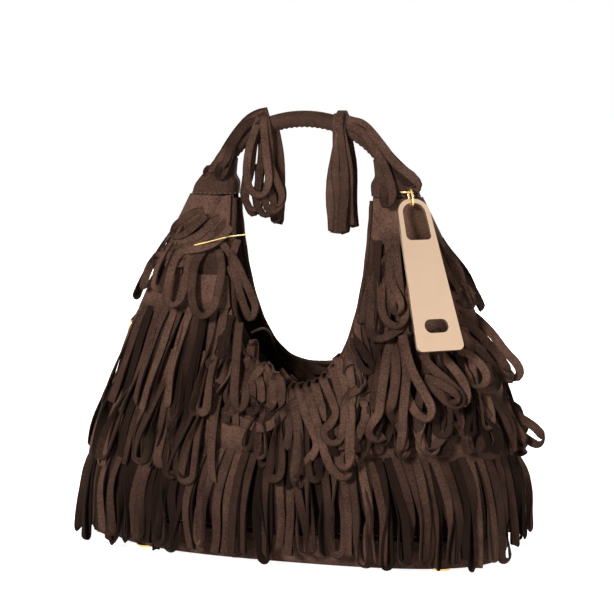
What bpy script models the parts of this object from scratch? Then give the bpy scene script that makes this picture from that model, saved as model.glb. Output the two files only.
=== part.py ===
# Slouchy suede shoulder bag with tiers of looped fringe, a rolled handle and a hanging metal tag.
# Metres, +Z up, X along the bag's width, -Y is the front. The origin lies on the floor under its middle.

import math

import bmesh
import bpy
import numpy as np
from mathutils import Matrix, Vector

MM = 0.001

# Suede, lining and the clearances between layers
CLEARANCE = 0.4 * MM
SUEDE = 1.6 * MM
LINING = 0.8 * MM
FRINGE_SUEDE = 1.4 * MM
SIDE_LIFT = 0.3 * MM
BAND_LIFT = 1.0 * MM

# Base: half sizes of the oval at the seam that joins it to the walls
BASE_HALF_LENGTH = 168 * MM
BASE_HALF_DEPTH = 62 * MM
BASE_ROUNDNESS = 2.6
BASE_UNDERSIDE = 3.0 * MM
SEAM_HEIGHT = 26 * MM
BOARD_THICKNESS = 2.4 * MM

# Mouth: the open top edge, low at the middle and climbing both horns to the handle
MOUTH_FRONT = 138 * MM
MOUTH_BACK = 146 * MM
MOUTH_HALF_WIDTH = 58.5 * MM
MOUTH_HALF_DEPTH = 45 * MM
MOUTH_ROUNDNESS = 2.8
SLIT_HALF = 5 * MM
PIPING_RADIUS = 2.0 * MM

# Horns: where the two ends of the bag narrow into the handle
HORN_TOP = 304 * MM
HORN_CENTRE = 73.5 * MM
HORN_HALF_WIDTH = 15 * MM
HORN_HALF_DEPTH = 11 * MM
MOUTH_SHARE = 0.78

# Handle: a rolled suede tube over a cord core, bent into half an ellipse
HANDLE_HALF_SPAN = 77 * MM
HANDLE_FOOT = 286 * MM
HANDLE_RISE = 65.5 * MM
HANDLE_RADIUS = 6.5 * MM
HANDLE_START = 293 * MM
COLLAR_LOW = 291 * MM
COLLAR_HIGH = 323 * MM

# The two bunches laid over the handle: along X, then how low they hang in front and behind
LEFT_BUNCH = (-49 * MM, -17 * MM)
RIGHT_BUNCH = (20 * MM, 49 * MM)
LEFT_BUNCH_ENDS = (270 * MM, 266 * MM)
RIGHT_BUNCH_ENDS = (261 * MM, 268 * MM)

# Fringe loops: each is one cut strand folded at its lower end, seen as two legs
LEG_WIDTH = 6.2 * MM
LEG_GAP = 1.8 * MM
FOLD_HEIGHT = 6 * MM
FOLD_ROUND = 2.6 * MM
LOOP_BULGE = 6.0 * MM
TIER_BULGE = 9.5 * MM
SIDE_BULGE = 15 * MM
MOUTH_BULGE = 12 * MM
END_FLARE = 1.0
LOOP_BULGE_LENGTH = 28 * MM
LOOP_STAGGER = 2.6 * MM
FAN = (0.62, 0.12)
BOTTOM_FAN = (0.9, 0.9)
LOOP_SWAY = 3.0 * MM
LOOP_RAGGED = 9 * MM

# Heights of the tiers: top of the header, slit line where the legs begin, lower ends
BOTTOM_TIER = (122 * MM, 93 * MM, 13 * MM)
MIDDLE_TIER_LEFT = (165 * MM, 140 * MM, 72 * MM)
MIDDLE_TIER_RIGHT = (161 * MM, 136 * MM, 92 * MM)
UPPER_TIER_LEFT = (225 * MM, 197 * MM, 112 * MM)
UPPER_TIER_RIGHT = (218 * MM, 190 * MM, 116 * MM)
HORN_TIER_LEFT = (288 * MM, 266 * MM, 184 * MM)
HORN_TIER_RIGHT = (288 * MM, 258 * MM, 180 * MM)
MOUTH_TIER_TURN = 0.074

# Feet
FOOT_X = 124 * MM
FOOT_Y = 40 * MM
FOOT_RADIUS = 9 * MM
FOOT_FLAT = 5 * MM

# D rings on the two ends
D_RING_HEIGHT = 181 * MM
D_RING_WIDTH = 15 * MM
D_RING_DROP = 12 * MM
D_RING_WIRE = 1.3 * MM
TAB_WIDTH = 9 * MM
TAB_WALL = 1.0 * MM
TAB_TAIL = 8 * MM
PIN_CLEARANCE = 0.35 * MM

# Metal tag, its link and its eye
TAG_LENGTH = 125 * MM
TAG_TOP_WIDTH = 26 * MM
TAG_LOW_WIDTH = 40 * MM
TAG_THICKNESS = 2.6 * MM
TAG_RIM = 3.4 * MM
TAG_CORNER = 4.5 * MM
WINDOW_LENGTH = 31 * MM
CUTOUT_LENGTH = 20 * MM
CUTOUT_HEIGHT = 11 * MM
CUTOUT_ABOVE_FOOT = 20 * MM
LINK_WIRE = 0.9 * MM
ARCH_SEAT = 0.65 * MM
LINK_HALF_WIDTH = 3.4 * MM
LINK_HALF_LENGTH = 6.6 * MM
EYE_RADIUS = 5.6 * MM
EYE_OUT = 17.5 * MM
EYE_DROP = 9 * MM
EYE_WIRE = 0.9 * MM

# Magnetic snap, pocket and the metallic thread round the left horn
SNAP_RADIUS = 7.5 * MM
SNAP_THICKNESS = 2.4 * MM
SNAP_STUD_RADIUS = 2.2 * MM
THREAD_RADIUS = 0.6 * MM
THREAD_HEIGHT = 249 * MM
THREAD_LIFT = 13.8 * MM


def clear_scene():
    for old in list(bpy.data.objects):
        bpy.data.objects.remove(old, do_unlink=True)


def make_material(name, colour, roughness, metallic):
    material = bpy.data.materials.new(name)
    material.use_nodes = True
    shader = material.node_tree.nodes["Principled BSDF"]
    shader.inputs["Base Color"].default_value = (*colour, 1.0)
    shader.inputs["Roughness"].default_value = roughness
    shader.inputs["Metallic"].default_value = metallic
    return material


clear_scene()
SUEDE_BROWN = make_material("suede_brown", (0.105, 0.062, 0.044), 0.95, 0.0)
LINING_CLOTH = make_material("lining_cloth", (0.12, 0.085, 0.06), 0.8, 0.0)
CORD_CORE = make_material("cord_core", (0.62, 0.58, 0.5), 0.9, 0.0)
GREY_BOARD = make_material("grey_board", (0.3, 0.28, 0.26), 0.9, 0.0)
PALE_GOLD = make_material("pale_gold", (0.9, 0.72, 0.52), 0.3, 1.0)
YELLOW_GOLD = make_material("yellow_gold", (0.85, 0.62, 0.28), 0.3, 1.0)


def make_object(name, vertices, faces, material, smooth_angle=None):
    mesh = bpy.data.meshes.new(name)
    mesh.from_pydata([tuple(map(float, p)) for p in vertices], [], [tuple(map(int, f)) for f in faces])
    mesh.update()
    obj = bpy.data.objects.new(name, mesh)
    bpy.context.collection.objects.link(obj)
    obj.data.materials.append(material)
    if smooth_angle is not None:
        mesh.shade_smooth()
        mesh.set_sharp_from_angle(angle=math.radians(smooth_angle))
    return obj


def make_from_bmesh(name, bm, material, smooth_angle=40):
    bmesh.ops.recalc_face_normals(bm, faces=bm.faces)
    mesh = bpy.data.meshes.new(name)
    bm.to_mesh(mesh)
    bm.free()
    obj = bpy.data.objects.new(name, mesh)
    bpy.context.collection.objects.link(obj)
    obj.data.materials.append(material)
    mesh.shade_smooth()
    mesh.set_sharp_from_angle(angle=math.radians(smooth_angle))
    return obj


def thicken(obj, thickness, offset):
    """Gives an open sheet its wall: offset -1 grows it inwards, 1 outwards."""
    wall = obj.modifiers.new("wall", "SOLIDIFY")
    wall.thickness = thickness
    wall.offset = offset
    wall.use_rim = True
    return obj


def grid_faces(rows, columns, closed=False):
    faces = []
    for r in range(rows - 1):
        for c in range(columns if closed else columns - 1):
            n = (c + 1) % columns
            faces.append((r * columns + c, r * columns + n, (r + 1) * columns + n, (r + 1) * columns + c))
    return faces


# The bag's skin. u runs once round the bag from the front's middle, through +X, the back and -X.
# v runs up from the base seam at 0 to the mouth edge and the tops of the horns at 1.


def quarter(u):
    """Share of a quarter turn, from the front or back middle at 0 to the bag's end at 1, with the signs."""
    turn = np.mod(np.asarray(u, float), 1.0) * 4
    number = np.minimum(turn.astype(int), 3)
    part = turn - number
    share = np.where(number % 2 == 0, part, 1 - part)
    sign_x = np.where(number < 2, 1.0, -1.0)
    sign_y = np.where((number == 0) | (number == 3), -1.0, 1.0)
    return share, sign_x, sign_y


def seam_point(u):
    share, sign_x, sign_y = quarter(u)
    angle = share * math.pi / 2
    power = 2 / BASE_ROUNDNESS
    x = BASE_HALF_LENGTH * np.sin(angle) ** power
    y = BASE_HALF_DEPTH * np.abs(np.cos(angle)) ** power
    return np.stack([sign_x * x, sign_y * y, np.full_like(x, SEAM_HEIGHT)], -1)


def seam_normal(u):
    share, sign_x, sign_y = quarter(u)
    angle = share * math.pi / 2
    power = 2 - 2 / BASE_ROUNDNESS
    x = np.sin(angle) ** power / BASE_HALF_LENGTH
    y = np.abs(np.cos(angle)) ** power / BASE_HALF_DEPTH
    size = np.hypot(x, y)
    return np.stack([sign_x * x / size, sign_y * y / size, np.zeros_like(x)], -1)


def top_point(u):
    """The mouth edge, a part of a superellipse, and then half an ellipse round the top of the horn."""
    share, sign_x, sign_y = quarter(u)
    low = np.where(sign_y < 0, MOUTH_FRONT, MOUTH_BACK)
    climb = np.clip(share / MOUTH_SHARE, 0, 1) * math.pi / 2
    power = 2 / MOUTH_ROUNDNESS
    round_x = MOUTH_HALF_WIDTH * np.sin(climb) ** power
    round_z = HORN_TOP - (HORN_TOP - low) * np.abs(np.cos(climb)) ** power
    depth = SLIT_HALF + (MOUTH_HALF_DEPTH - SLIT_HALF) * np.abs(np.cos(climb)) ** 0.9
    first = math.asin(SLIT_HALF / HORN_HALF_DEPTH)
    turn = math.pi - first - np.clip((share - MOUTH_SHARE) / (1 - MOUTH_SHARE), 0, 1) * (math.pi - first)
    inner = HORN_CENTRE - HORN_HALF_WIDTH * math.cos(first)
    horn_x = HORN_CENTRE + HORN_HALF_WIDTH * np.cos(turn)
    horn_x = horn_x + (MOUTH_HALF_WIDTH - inner) * turn / (math.pi - first)
    on_horn = share > MOUTH_SHARE
    x = np.where(on_horn, horn_x, round_x)
    y = np.where(on_horn, HORN_HALF_DEPTH * np.sin(turn), depth)
    z = np.where(on_horn, HORN_TOP, round_z)
    return np.stack([sign_x * x, sign_y * y, z], -1)


def skin_raw(u, v):
    """A cubic curve up each meridian, bulging out over the base and leaning in to the mouth and horns."""
    u, v = np.broadcast_arrays(np.asarray(u, float), np.asarray(v, float))
    share, _, _ = quarter(u)
    foot, top, out = seam_point(u), top_point(u), seam_normal(u)
    rise = (top[..., 2] - foot[..., 2])[..., None]
    up = np.array([0, 0, 1.0])
    flat = (foot - top) * np.array([1, 1, 0])
    low_swell = ((12 + 12 * share) * MM)[..., None]
    first = foot + out * low_swell + up * rise * 0.30
    second = top + flat * 0.32 + out * 10 * MM - up * rise * 0.27
    w = v[..., None]
    return foot * (1 - w) ** 3 + first * 3 * w * (1 - w) ** 2 + second * 3 * w**2 * (1 - w) + top * w**3


def skin_frame(u, v):
    """Tangents along u and v, and the outward normal."""
    step = 1e-3
    along_u = (skin_raw(np.asarray(u) + step, v) - skin_raw(np.asarray(u) - step, v)) / (2 * step)
    high, low = np.clip(np.asarray(v) + step, 0, 1), np.clip(np.asarray(v) - step, 0, 1)
    along_v = (skin_raw(u, high) - skin_raw(u, low)) / (high - low)[..., None]
    normal = np.cross(along_u, along_v)
    normal /= np.linalg.norm(normal, axis=-1, keepdims=True)
    return along_u, along_v, normal


def skin(u, v, off=0.0):
    """A point on the skin, moved out along the normal by off."""
    u, v = np.broadcast_arrays(np.asarray(u, float), np.asarray(v, float))
    _, _, normal = skin_frame(u, np.clip(v, 0, 1))
    return skin_raw(u, np.clip(v, 0, 1)) + normal * np.asarray(off)[..., None]


def v_at_height(u, z):
    """How far up its meridian the skin reaches height z, found by halving."""
    u, z = np.broadcast_arrays(np.asarray(u, float), np.asarray(z, float))
    low, high = np.zeros_like(u), np.ones_like(u)
    for _ in range(30):
        middle = (low + high) / 2
        below = skin_raw(u, middle)[..., 2] < z
        low, high = np.where(below, middle, low), np.where(below, high, middle)
    return (low + high) / 2


def u_at_mouth(z, back=False):
    """Share of the turn, from the front or back middle, where the mouth edge reaches height z."""
    low = MOUTH_BACK if back else MOUTH_FRONT
    climb = math.acos(min(1.0, ((HORN_TOP - z) / (HORN_TOP - low)) ** (MOUTH_ROUNDNESS / 2)))
    return climb / (math.pi / 2) * MOUTH_SHARE / 4


def hang(u, z, off):
    """A point at height z, off the skin. Below the base seam it keeps straight down from the seam."""
    u, z, off = np.broadcast_arrays(np.asarray(u, float), np.asarray(z, float), np.asarray(off, float))
    point = skin(u, v_at_height(u, np.maximum(z, SEAM_HEIGHT)), off)
    point[..., 2] += np.minimum(z - SEAM_HEIGHT, 0)
    return point


def level_way(u, z):
    """The level way round the skin at height z, and how much u changes for each metre of it."""
    along_u, along_v, _ = skin_frame(u, v_at_height(u, np.maximum(z, SEAM_HEIGHT)))
    way = along_u - along_v * (along_u[..., 2:] / np.maximum(along_v[..., 2:], 0.03))
    reach = np.linalg.norm(way, axis=-1)
    return way / reach[..., None], 1 / reach


# Walls, base and lining. All layers share these meridians and levels, so that their facets run parallel.

PANEL_SEAM = MOUTH_SHARE / 4
SEAM_GAP = 0.0009
WALL_LEVELS = np.array([0, 0.18, 0.38, 0.6, 0.83, 1])
FRONT_MERIDIANS = np.array([0, 0.028, 0.056, 0.083, 0.108, 0.132, 0.154, 0.172, 0.185, 0.191])
END_MERIDIANS = np.array([0.203, 0.214, 0.226, 0.238, 0.25])


def mirrored(values, middle):
    """The values and their mirror images about the middle, which is kept once."""
    other = 2 * middle - values[values != middle]
    return np.sort(np.concatenate([values, other]))


def wall_panel(name, us):
    """One sewn panel of the skin between two meridians."""
    points = skin(us[None, :], WALL_LEVELS[:, None]).reshape(-1, 3)
    obj = make_object(name, points, grid_faces(len(WALL_LEVELS), len(us)), SUEDE_BROWN, 50)
    return thicken(obj, SUEDE, -1)


def walls():
    front = mirrored(np.append(FRONT_MERIDIANS, PANEL_SEAM - SEAM_GAP), 0)
    end = mirrored(np.append(END_MERIDIANS, PANEL_SEAM + SEAM_GAP), 0.25)
    wall_panel("front_panel", front)
    wall_panel("back_panel", front + 0.5)
    wall_panel("gusset_right", end)
    wall_panel("gusset_left", end + 0.5)


def oval(scale, z, us):
    ring = seam_point(us) * np.array([scale, scale, 1])
    ring[:, 2] = z
    return ring


def base_panel():
    """A shallow tray: rounded up at its edge to the seam, flat underneath."""
    us = np.arange(32) / 32
    drop = SEAM_HEIGHT - 0.5 * MM - BASE_UNDERSIDE
    steps = [(0.0, 1.0), (0.6, 1.0), (0.92, 0.96), (1.0, 0.88)]
    rings = [oval(scale, SEAM_HEIGHT - 0.5 * MM - drop * part, us) for part, scale in steps]
    faces = [tuple(reversed(f)) for f in grid_faces(len(steps), len(us), closed=True)]
    last = (len(steps) - 1) * len(us)
    faces.append(tuple(last + i for i in reversed(range(len(us)))))
    obj = make_object("base_panel", np.concatenate(rings), faces, SUEDE_BROWN, 50)
    return thicken(obj, SUEDE, -1)


def base_board():
    """The stiff board that lies in the base and keeps it flat."""
    bm = bmesh.new()
    low = BASE_UNDERSIDE + SUEDE + CLEARANCE
    face = bm.faces.new([bm.verts.new(p) for p in oval(0.85, low, np.arange(28) / 28)])
    grown = bmesh.ops.extrude_face_region(bm, geom=[face])
    lifted = [item for item in grown["geom"] if isinstance(item, bmesh.types.BMVert)]
    bmesh.ops.translate(bm, verts=lifted, vec=(0, 0, BOARD_THICKNESS))
    return make_from_bmesh("base_board", bm, GREY_BOARD)


def lining_meridians():
    """Every second meridian of the walls, all the way round."""
    front = mirrored(FRONT_MERIDIANS[:-1:2], 0)
    half = np.concatenate([front, mirrored(np.insert(END_MERIDIANS[2::2], 0, PANEL_SEAM), 0.25)])
    return np.concatenate([half, half + 0.5])


def lining():
    """The sewn inner bag: walls just inside the panels up to their bare suede facing, closed by its
    own floor over the board."""
    us = lining_meridians()
    floor = BASE_UNDERSIDE + SUEDE + BOARD_THICKNESS + 2 * CLEARANCE
    rings = [oval(0.84, floor, us), oval(0.93, floor + 6 * MM, us)]
    walls_in = skin(us[None, :], WALL_LEVELS[:-1, None], -(SUEDE + 2 * CLEARANCE))
    points = np.concatenate(rings + [walls_in.reshape(-1, 3)])
    faces = [tuple(reversed(range(len(us))))]
    faces += grid_faces(len(WALL_LEVELS) + 1, len(us), closed=True)
    obj = make_object("lining", points, faces, LINING_CLOTH, 50)
    return thicken(obj, LINING, -1)


def inner_pocket():
    """An open patch pocket sewn to the back of the lining, on the lining's own facets."""
    us = lining_meridians()
    us = us[(us > 0.42) & (us < 0.58)]
    levels = WALL_LEVELS[1:4]
    inset = SUEDE + 2 * CLEARANCE + LINING + 0.35 * MM
    points = skin(us[None, :], levels[:, None], -inset).reshape(-1, 3)
    obj = make_object("inner_pocket", points, grid_faces(len(levels), len(us)), LINING_CLOTH, 50)
    return thicken(obj, LINING, -1)


def tube_rings(centres, sideways, upward, radius, sides):
    """Rings of a tube. The two arrays of unit vectors span the plane of each ring."""
    angles = (np.arange(sides) + 0.5) / sides * 2 * math.pi
    wide = np.cos(angles)[None, :, None] * sideways[:, None, :]
    high = np.sin(angles)[None, :, None] * upward[:, None, :]
    return centres[:, None, :] + radius * (wide + high)


def make_tube(name, rings, material, closed=False):
    count, sides = rings.shape[:2]
    bm = bmesh.new()
    verts = [[bm.verts.new(p) for p in ring] for ring in rings]
    for r in range(count if closed else count - 1):
        for c in range(sides):
            n = (c + 1) % sides
            s = (r + 1) % count
            bm.faces.new((verts[r][c], verts[r][n], verts[s][n], verts[s][c]))
    if not closed:
        bm.faces.new(verts[0])
        bm.faces.new(verts[-1])
    return make_from_bmesh(name, bm, material, 50)


def path_frames(points, hint):
    """Unit tangents, and two unit vectors across them, the first as near as can be to the hint."""
    tangents = np.gradient(points, axis=0)
    tangents /= np.linalg.norm(tangents, axis=1, keepdims=True)
    side = np.broadcast_to(np.asarray(hint, float), tangents.shape)
    side = side - (side * tangents).sum(1, keepdims=True) * tangents
    side /= np.linalg.norm(side, axis=1, keepdims=True)
    return tangents, side, np.cross(tangents, side)


def closed_frames(points, normal):
    """The same for a flat closed path in the plane with this normal."""
    tangents = np.roll(points, -1, axis=0) - np.roll(points, 1, axis=0)
    tangents /= np.linalg.norm(tangents, axis=1, keepdims=True)
    side = np.broadcast_to(np.asarray(normal, float), tangents.shape)
    return side, np.cross(tangents, side)


def mouth_binding(name, back):
    """The rolled edge along the mouth, from under one collar to under the other."""
    reach = u_at_mouth(COLLAR_LOW - 4 * MM, back)
    half = np.append(FRONT_MERIDIANS[FRONT_MERIDIANS < reach - 0.001], reach)
    us = np.mod((0.5 if back else 0.0) + mirrored(half, 0), 1.0)
    edge = top_point(us)
    _, along_v, normal = skin_frame(us, np.ones_like(us))
    tangents = np.gradient(edge, axis=0)
    tangents /= np.linalg.norm(tangents, axis=1, keepdims=True)
    away = np.cross(normal, tangents)
    away *= np.sign((away * (np.array([0, 0, 250 * MM]) - edge)).sum(1, keepdims=True))
    away /= np.linalg.norm(away, axis=1, keepdims=True)
    centres = edge - normal * (SUEDE + LINING + CLEARANCE) / 2 + away * (PIPING_RADIUS + 0.3 * MM)
    return make_tube(name, tube_rings(centres, normal, away, PIPING_RADIUS, 6), SUEDE_BROWN)


# Handle and collars


def handle_point(turn):
    turn = np.asarray(turn, float)
    return np.stack([
        HANDLE_HALF_SPAN * np.cos(turn), np.zeros_like(turn), HANDLE_FOOT + HANDLE_RISE * np.sin(turn)
    ], -1)


def handle_line(count, shorten=0.0):
    start = math.asin((HANDLE_START - HANDLE_FOOT) / HANDLE_RISE) + shorten
    points = handle_point(np.linspace(start, math.pi - start, count))
    _, side, out = path_frames(points, (0, 1, 0))
    return points, side, out


def handle():
    """A suede tube with an open bore, and the cord that fills it."""
    sides = 8
    points, side, out = handle_line(16)
    outer = tube_rings(points, side, out, HANDLE_RADIUS, sides)
    inner = tube_rings(points, side, out, HANDLE_RADIUS - SUEDE, sides)
    bm = bmesh.new()
    both = [[[bm.verts.new(p) for p in ring] for ring in rings] for rings in (outer, inner)]
    for rings in both:
        for a, b in zip(rings[:-1], rings[1:]):
            for i in range(sides):
                n = (i + 1) % sides
                bm.faces.new((a[i], a[n], b[n], b[i]))
    for end in (0, -1):
        for i in range(sides):
            n = (i + 1) % sides
            bm.faces.new((both[0][end][i], both[0][end][n], both[1][end][n], both[1][end][i]))
    make_from_bmesh("handle_cover", bm, SUEDE_BROWN, 50)
    core = tube_rings(points, side, out, HANDLE_RADIUS - SUEDE - CLEARANCE, sides)
    make_tube("handle_core", core, CORD_CORE)


def collar(name, sign):
    """The sleeve that gathers the top of a horn onto the handle: oval below, round above."""
    sides = 14
    angles = np.arange(sides) / sides * 2 * math.pi
    power = 2 / 2.4
    oval_x = np.sign(np.cos(angles)) * np.abs(np.cos(angles)) ** power
    oval_y = np.sign(np.sin(angles)) * np.abs(np.sin(angles)) ** power
    rings = []
    for z, grow in ((COLLAR_LOW, 1.4), (HORN_TOP - 3 * MM, 1.6), (HORN_TOP + 3 * MM, 1.2)):
        us = np.linspace(PANEL_SEAM, 0.25, 9)
        section = skin(us, v_at_height(us, min(z, HORN_TOP)))
        low_x, high_x = MOUTH_HALF_WIDTH - 1.5 * MM, section[:, 0].max()
        middle, half_x = (low_x + high_x) / 2, (high_x - low_x) / 2 + grow * MM
        half_y = np.abs(section[:, 1]).max() + grow * MM
        rings.append(np.stack([middle + half_x * oval_x, half_y * oval_y, np.full(sides, z)], -1))
    for z, extra in ((HORN_TOP + 11 * MM, 2.4), (COLLAR_HIGH, 0.6)):
        turn = math.asin((z - HANDLE_FOOT) / HANDLE_RISE)
        across = Vector((HANDLE_RISE * math.cos(turn), 0, HANDLE_HALF_SPAN * math.sin(turn))).normalized()
        radius = HANDLE_RADIUS + extra * MM
        circle = np.cos(angles)[:, None] * np.array(across) + np.sin(angles)[:, None] * np.array([0, 1, 0])
        rings.append(handle_point(turn) + radius * circle)
    points = np.concatenate(rings) * np.array([sign, 1, 1])
    faces = grid_faces(len(rings), sides, closed=True)
    if sign < 0:
        faces = [tuple(reversed(f)) for f in faces]
    obj = make_object(name, points, faces, SUEDE_BROWN, 50)
    return thicken(obj, SUEDE, 1)


# Fringe


def comb(name, points, joined, looped, skip=()):
    """A slit strip of suede from a grid of rows down its length. Each loop has four columns, the
    edges of its two legs. Rows in the joined range are uncut; looped rows close each loop's fold."""
    rows, columns = points.shape[:2]
    faces = []
    for r in range(rows - 1):
        for c in range(columns - 1):
            whole = joined[0] <= r < joined[1]
            leg = c % 2 == 0 and c // 4 not in skip
            fold = c % 4 == 1 and r in looped and c // 4 not in skip
            if whole or leg or fold:
                low, high = (r + 1) * columns + c, r * columns + c
                faces.append((low, low + 1, high + 1, high))
    used = sorted({i for f in faces for i in f})
    place = {old: new for new, old in enumerate(used)}
    faces = [tuple(place[i] for i in f) for f in faces]
    obj = make_object(name, points.reshape(-1, 3)[used], faces, SUEDE_BROWN, 35)
    return thicken(obj, FRINGE_SUEDE, 1)


def fringe_band(name, first, last, tier, loops, seed, bulge=LOOP_BULGE, skip=(), fan=FAN, lift=BAND_LIFT):
    """One tier: a header sewn along the skin and loops hanging from its slit line, which swell off
    the skin, sway a little and end at slightly different heights, every second one farther out.
    fan is the share of the skin's own spread that the middle and the outermost loops follow."""
    top, slit, end = tier
    chance = np.random.default_rng(seed)
    fine = np.linspace(first, last, 240)
    line = hang(fine, np.full_like(fine, slit), 0.0)
    run = np.concatenate([[0], np.cumsum(np.linalg.norm(np.diff(line, axis=0), axis=1))])
    pitch = run[-1] / loops
    centres = np.interp((np.arange(loops) + 0.5) * pitch, run, fine)
    half = pitch / 4
    width = min(LEG_WIDTH, pitch / 2 - LEG_GAP)
    across = np.array([-half - width / 2, -half + width / 2, half - width / 2, half + width / 2])
    ends = (end(centres) if callable(end) else np.full(loops, end)) + chance.random(loops) * LOOP_RAGGED
    sway = (chance.random(loops) * 2 - 1) * LOOP_SWAY
    sway[0], sway[-1] = abs(sway[0]), -abs(sway[-1])
    for gap in skip:
        sway[gap - 1] = -abs(sway[gap - 1]) * 0.5
        sway[gap + 1] = abs(sway[gap + 1]) * 0.5
    bulge = bulge * (1 + END_FLARE * quarter(centres)[0] ** 3)
    stagger = (np.arange(loops) % 2) * LOOP_STAGGER
    start = hang(centres, np.full(loops, slit), 0.0)
    way, scale = level_way(centres, np.full(loops, slit))
    plumb = 1 - np.interp(np.abs(np.linspace(-1, 1, loops)), (0, 1), fan)

    def row(z, swayed, staggered, pinch=0.0, drop=0.0):
        z = np.broadcast_to(z, (loops,))
        drift = ((hang(centres, z, 0.0) - start) * way).sum(-1)
        middles = centres - plumb * drift * level_way(centres, z)[1]
        shift = across * (1 - pinch) + (sway * swayed)[:, None]
        us = middles[:, None] + shift * level_way(middles, z)[1][:, None]
        depth = np.maximum(slit - z, 0)
        off = lift + bulge * (1 - np.exp(-depth / LOOP_BULGE_LENGTH)) + stagger * staggered
        heights = np.broadcast_to(z[:, None], us.shape) + np.array([drop, 0, 0, drop])
        return hang(us, heights, off[:, None]).reshape(-1, 3)

    header_us = (centres[:, None] + across * scale[:, None]).reshape(-1)
    brink = np.minimum(top_point(header_us)[:, 2] - 2.5 * MM, top)
    levels = [np.maximum(brink, slit + 4 * MM)]
    rows = [hang(header_us, levels[0], lift), row(slit, 0, 0)]
    rows.append(row(slit + (ends - slit) * 0.45, 0.25, 0.8))
    rows.append(row(ends + FOLD_HEIGHT, 0.9, 1.0))
    rows.append(row(ends, 1.0, 1.0, 0.22, FOLD_ROUND))
    return comb(name, np.stack(rows), (0, 1), (3,), skip)


def fringe_tiers():
    ends = np.array([0.199, 0.301])
    fringe_band("fringe_bottom_front", -0.196, 0.196, BOTTOM_TIER, 17, 3, fan=BOTTOM_FAN)
    fringe_band("fringe_bottom_back", 0.304, 0.696, BOTTOM_TIER, 14, 4, fan=BOTTOM_FAN)
    fringe_band("fringe_bottom_right", *ends, BOTTOM_TIER, 4, 5, SIDE_BULGE, lift=SIDE_LIFT)
    fringe_band("fringe_bottom_left", *(ends + 0.5), BOTTOM_TIER, 4, 6, SIDE_BULGE, lift=SIDE_LIFT)
    tiers = (
        ("middle", MIDDLE_TIER_RIGHT, MIDDLE_TIER_LEFT, 10, ()),
        ("upper", UPPER_TIER_RIGHT, UPPER_TIER_LEFT, 9, (4,)),
        ("horn", HORN_TIER_RIGHT, HORN_TIER_LEFT, 5, ()),
    )
    for number, (word, right, left, loops, skip) in enumerate(tiers):
        for side, tier, seed in (("right", right, 20 + number), ("left", left, 30 + number)):
            front = max(u_at_mouth(tier[1] + 7 * MM), MOUTH_TIER_TURN + 0.006)
            back = max(u_at_mouth(tier[1] + 7 * MM, back=True), MOUTH_TIER_TURN + 0.006)
            low, high = (front, 0.5 - back) if side == "right" else (0.5 + back, 1 - front)
            fringe_band(f"fringe_{word}_{side}", low, high, tier, loops, seed, TIER_BULGE, skip=skip)


def mouth_fringe():
    """Right under the mouth edge; its loops are short on the left and longest past the middle."""
    turn = MOUTH_TIER_TURN

    def front_end(u):
        return np.interp(u, (-turn, -0.022, -0.008, 0.05, turn), np.array((104, 100, 66, 66, 92)) * MM)

    front = (MOUTH_FRONT + 40 * MM, MOUTH_FRONT - 9 * MM, front_end)
    fringe_band("fringe_mouth_front", -turn, turn, front, 6, 41, MOUTH_BULGE)
    back = (MOUTH_BACK + 40 * MM, MOUTH_BACK - 9 * MM, 84 * MM)
    fringe_band("fringe_mouth_back", 0.5 - turn, 0.5 + turn, back, 5, 42, MOUTH_BULGE)


def handle_height(x):
    return HANDLE_FOOT + HANDLE_RISE * np.sqrt(1 - (x / HANDLE_HALF_SPAN) ** 2)


def handle_fringe(name, span, loops, ends, seed):
    """A strip laid over the handle like a saddle, its legs hanging in front of it and behind."""
    chance = np.random.default_rng(seed)
    (first, last), (front_end, back_end) = span, ends
    pitch = (last - first) / loops
    half, width = pitch / 4, min(LEG_WIDTH, pitch / 2 - LEG_GAP)
    across = np.array([-half - width / 2, -half + width / 2, half - width / 2, half + width / 2])
    centres = first + (np.arange(loops) + 0.5) * pitch
    xs = (centres[:, None] + across).reshape(-1)
    crest = handle_height(xs)
    slope = HANDLE_RISE * xs / HANDLE_HALF_SPAN / np.sqrt(HANDLE_HALF_SPAN**2 - xs**2)
    radius = HANDLE_RADIUS + 1.0 * MM
    high = radius * np.sqrt(1 + slope**2)
    rows = []
    fronts = np.repeat(front_end + chance.random(loops) * 9 * MM, 4)
    backs = np.repeat(back_end + chance.random(loops) * 9 * MM, 4)
    round_off = np.tile([FOLD_ROUND, 0, 0, FOLD_ROUND], loops)
    pinch = np.tile([0.9, 0, 0, -0.9], loops) * MM
    splay = np.repeat((np.arange(loops) % 2) * 2.2 * MM, 4)
    rows.append(np.stack([xs + pinch, radius + 2 * MM + splay, backs + round_off], -1))
    rows.append(np.stack([xs, radius + 2 * MM + splay, backs + FOLD_HEIGHT], -1))
    rows.append(np.stack([xs, np.full_like(xs, radius + 0.6 * MM), crest - 8 * MM], -1))
    for turn in np.radians((0, 45, 90, 135, 180)):
        rows.append(np.stack([xs, radius * math.cos(turn) + 0 * xs, crest + high * math.sin(turn)], -1))
    rows.append(np.stack([xs, np.full_like(xs, -radius - 0.6 * MM), crest - 8 * MM], -1))
    rows.append(np.stack([xs, -radius - 2 * MM - splay, fronts + FOLD_HEIGHT], -1))
    rows.append(np.stack([xs + pinch, -radius - 2 * MM - splay, fronts + round_off], -1))
    return comb(name, np.stack(rows), (4, 6), (0, len(rows) - 2))


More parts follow.
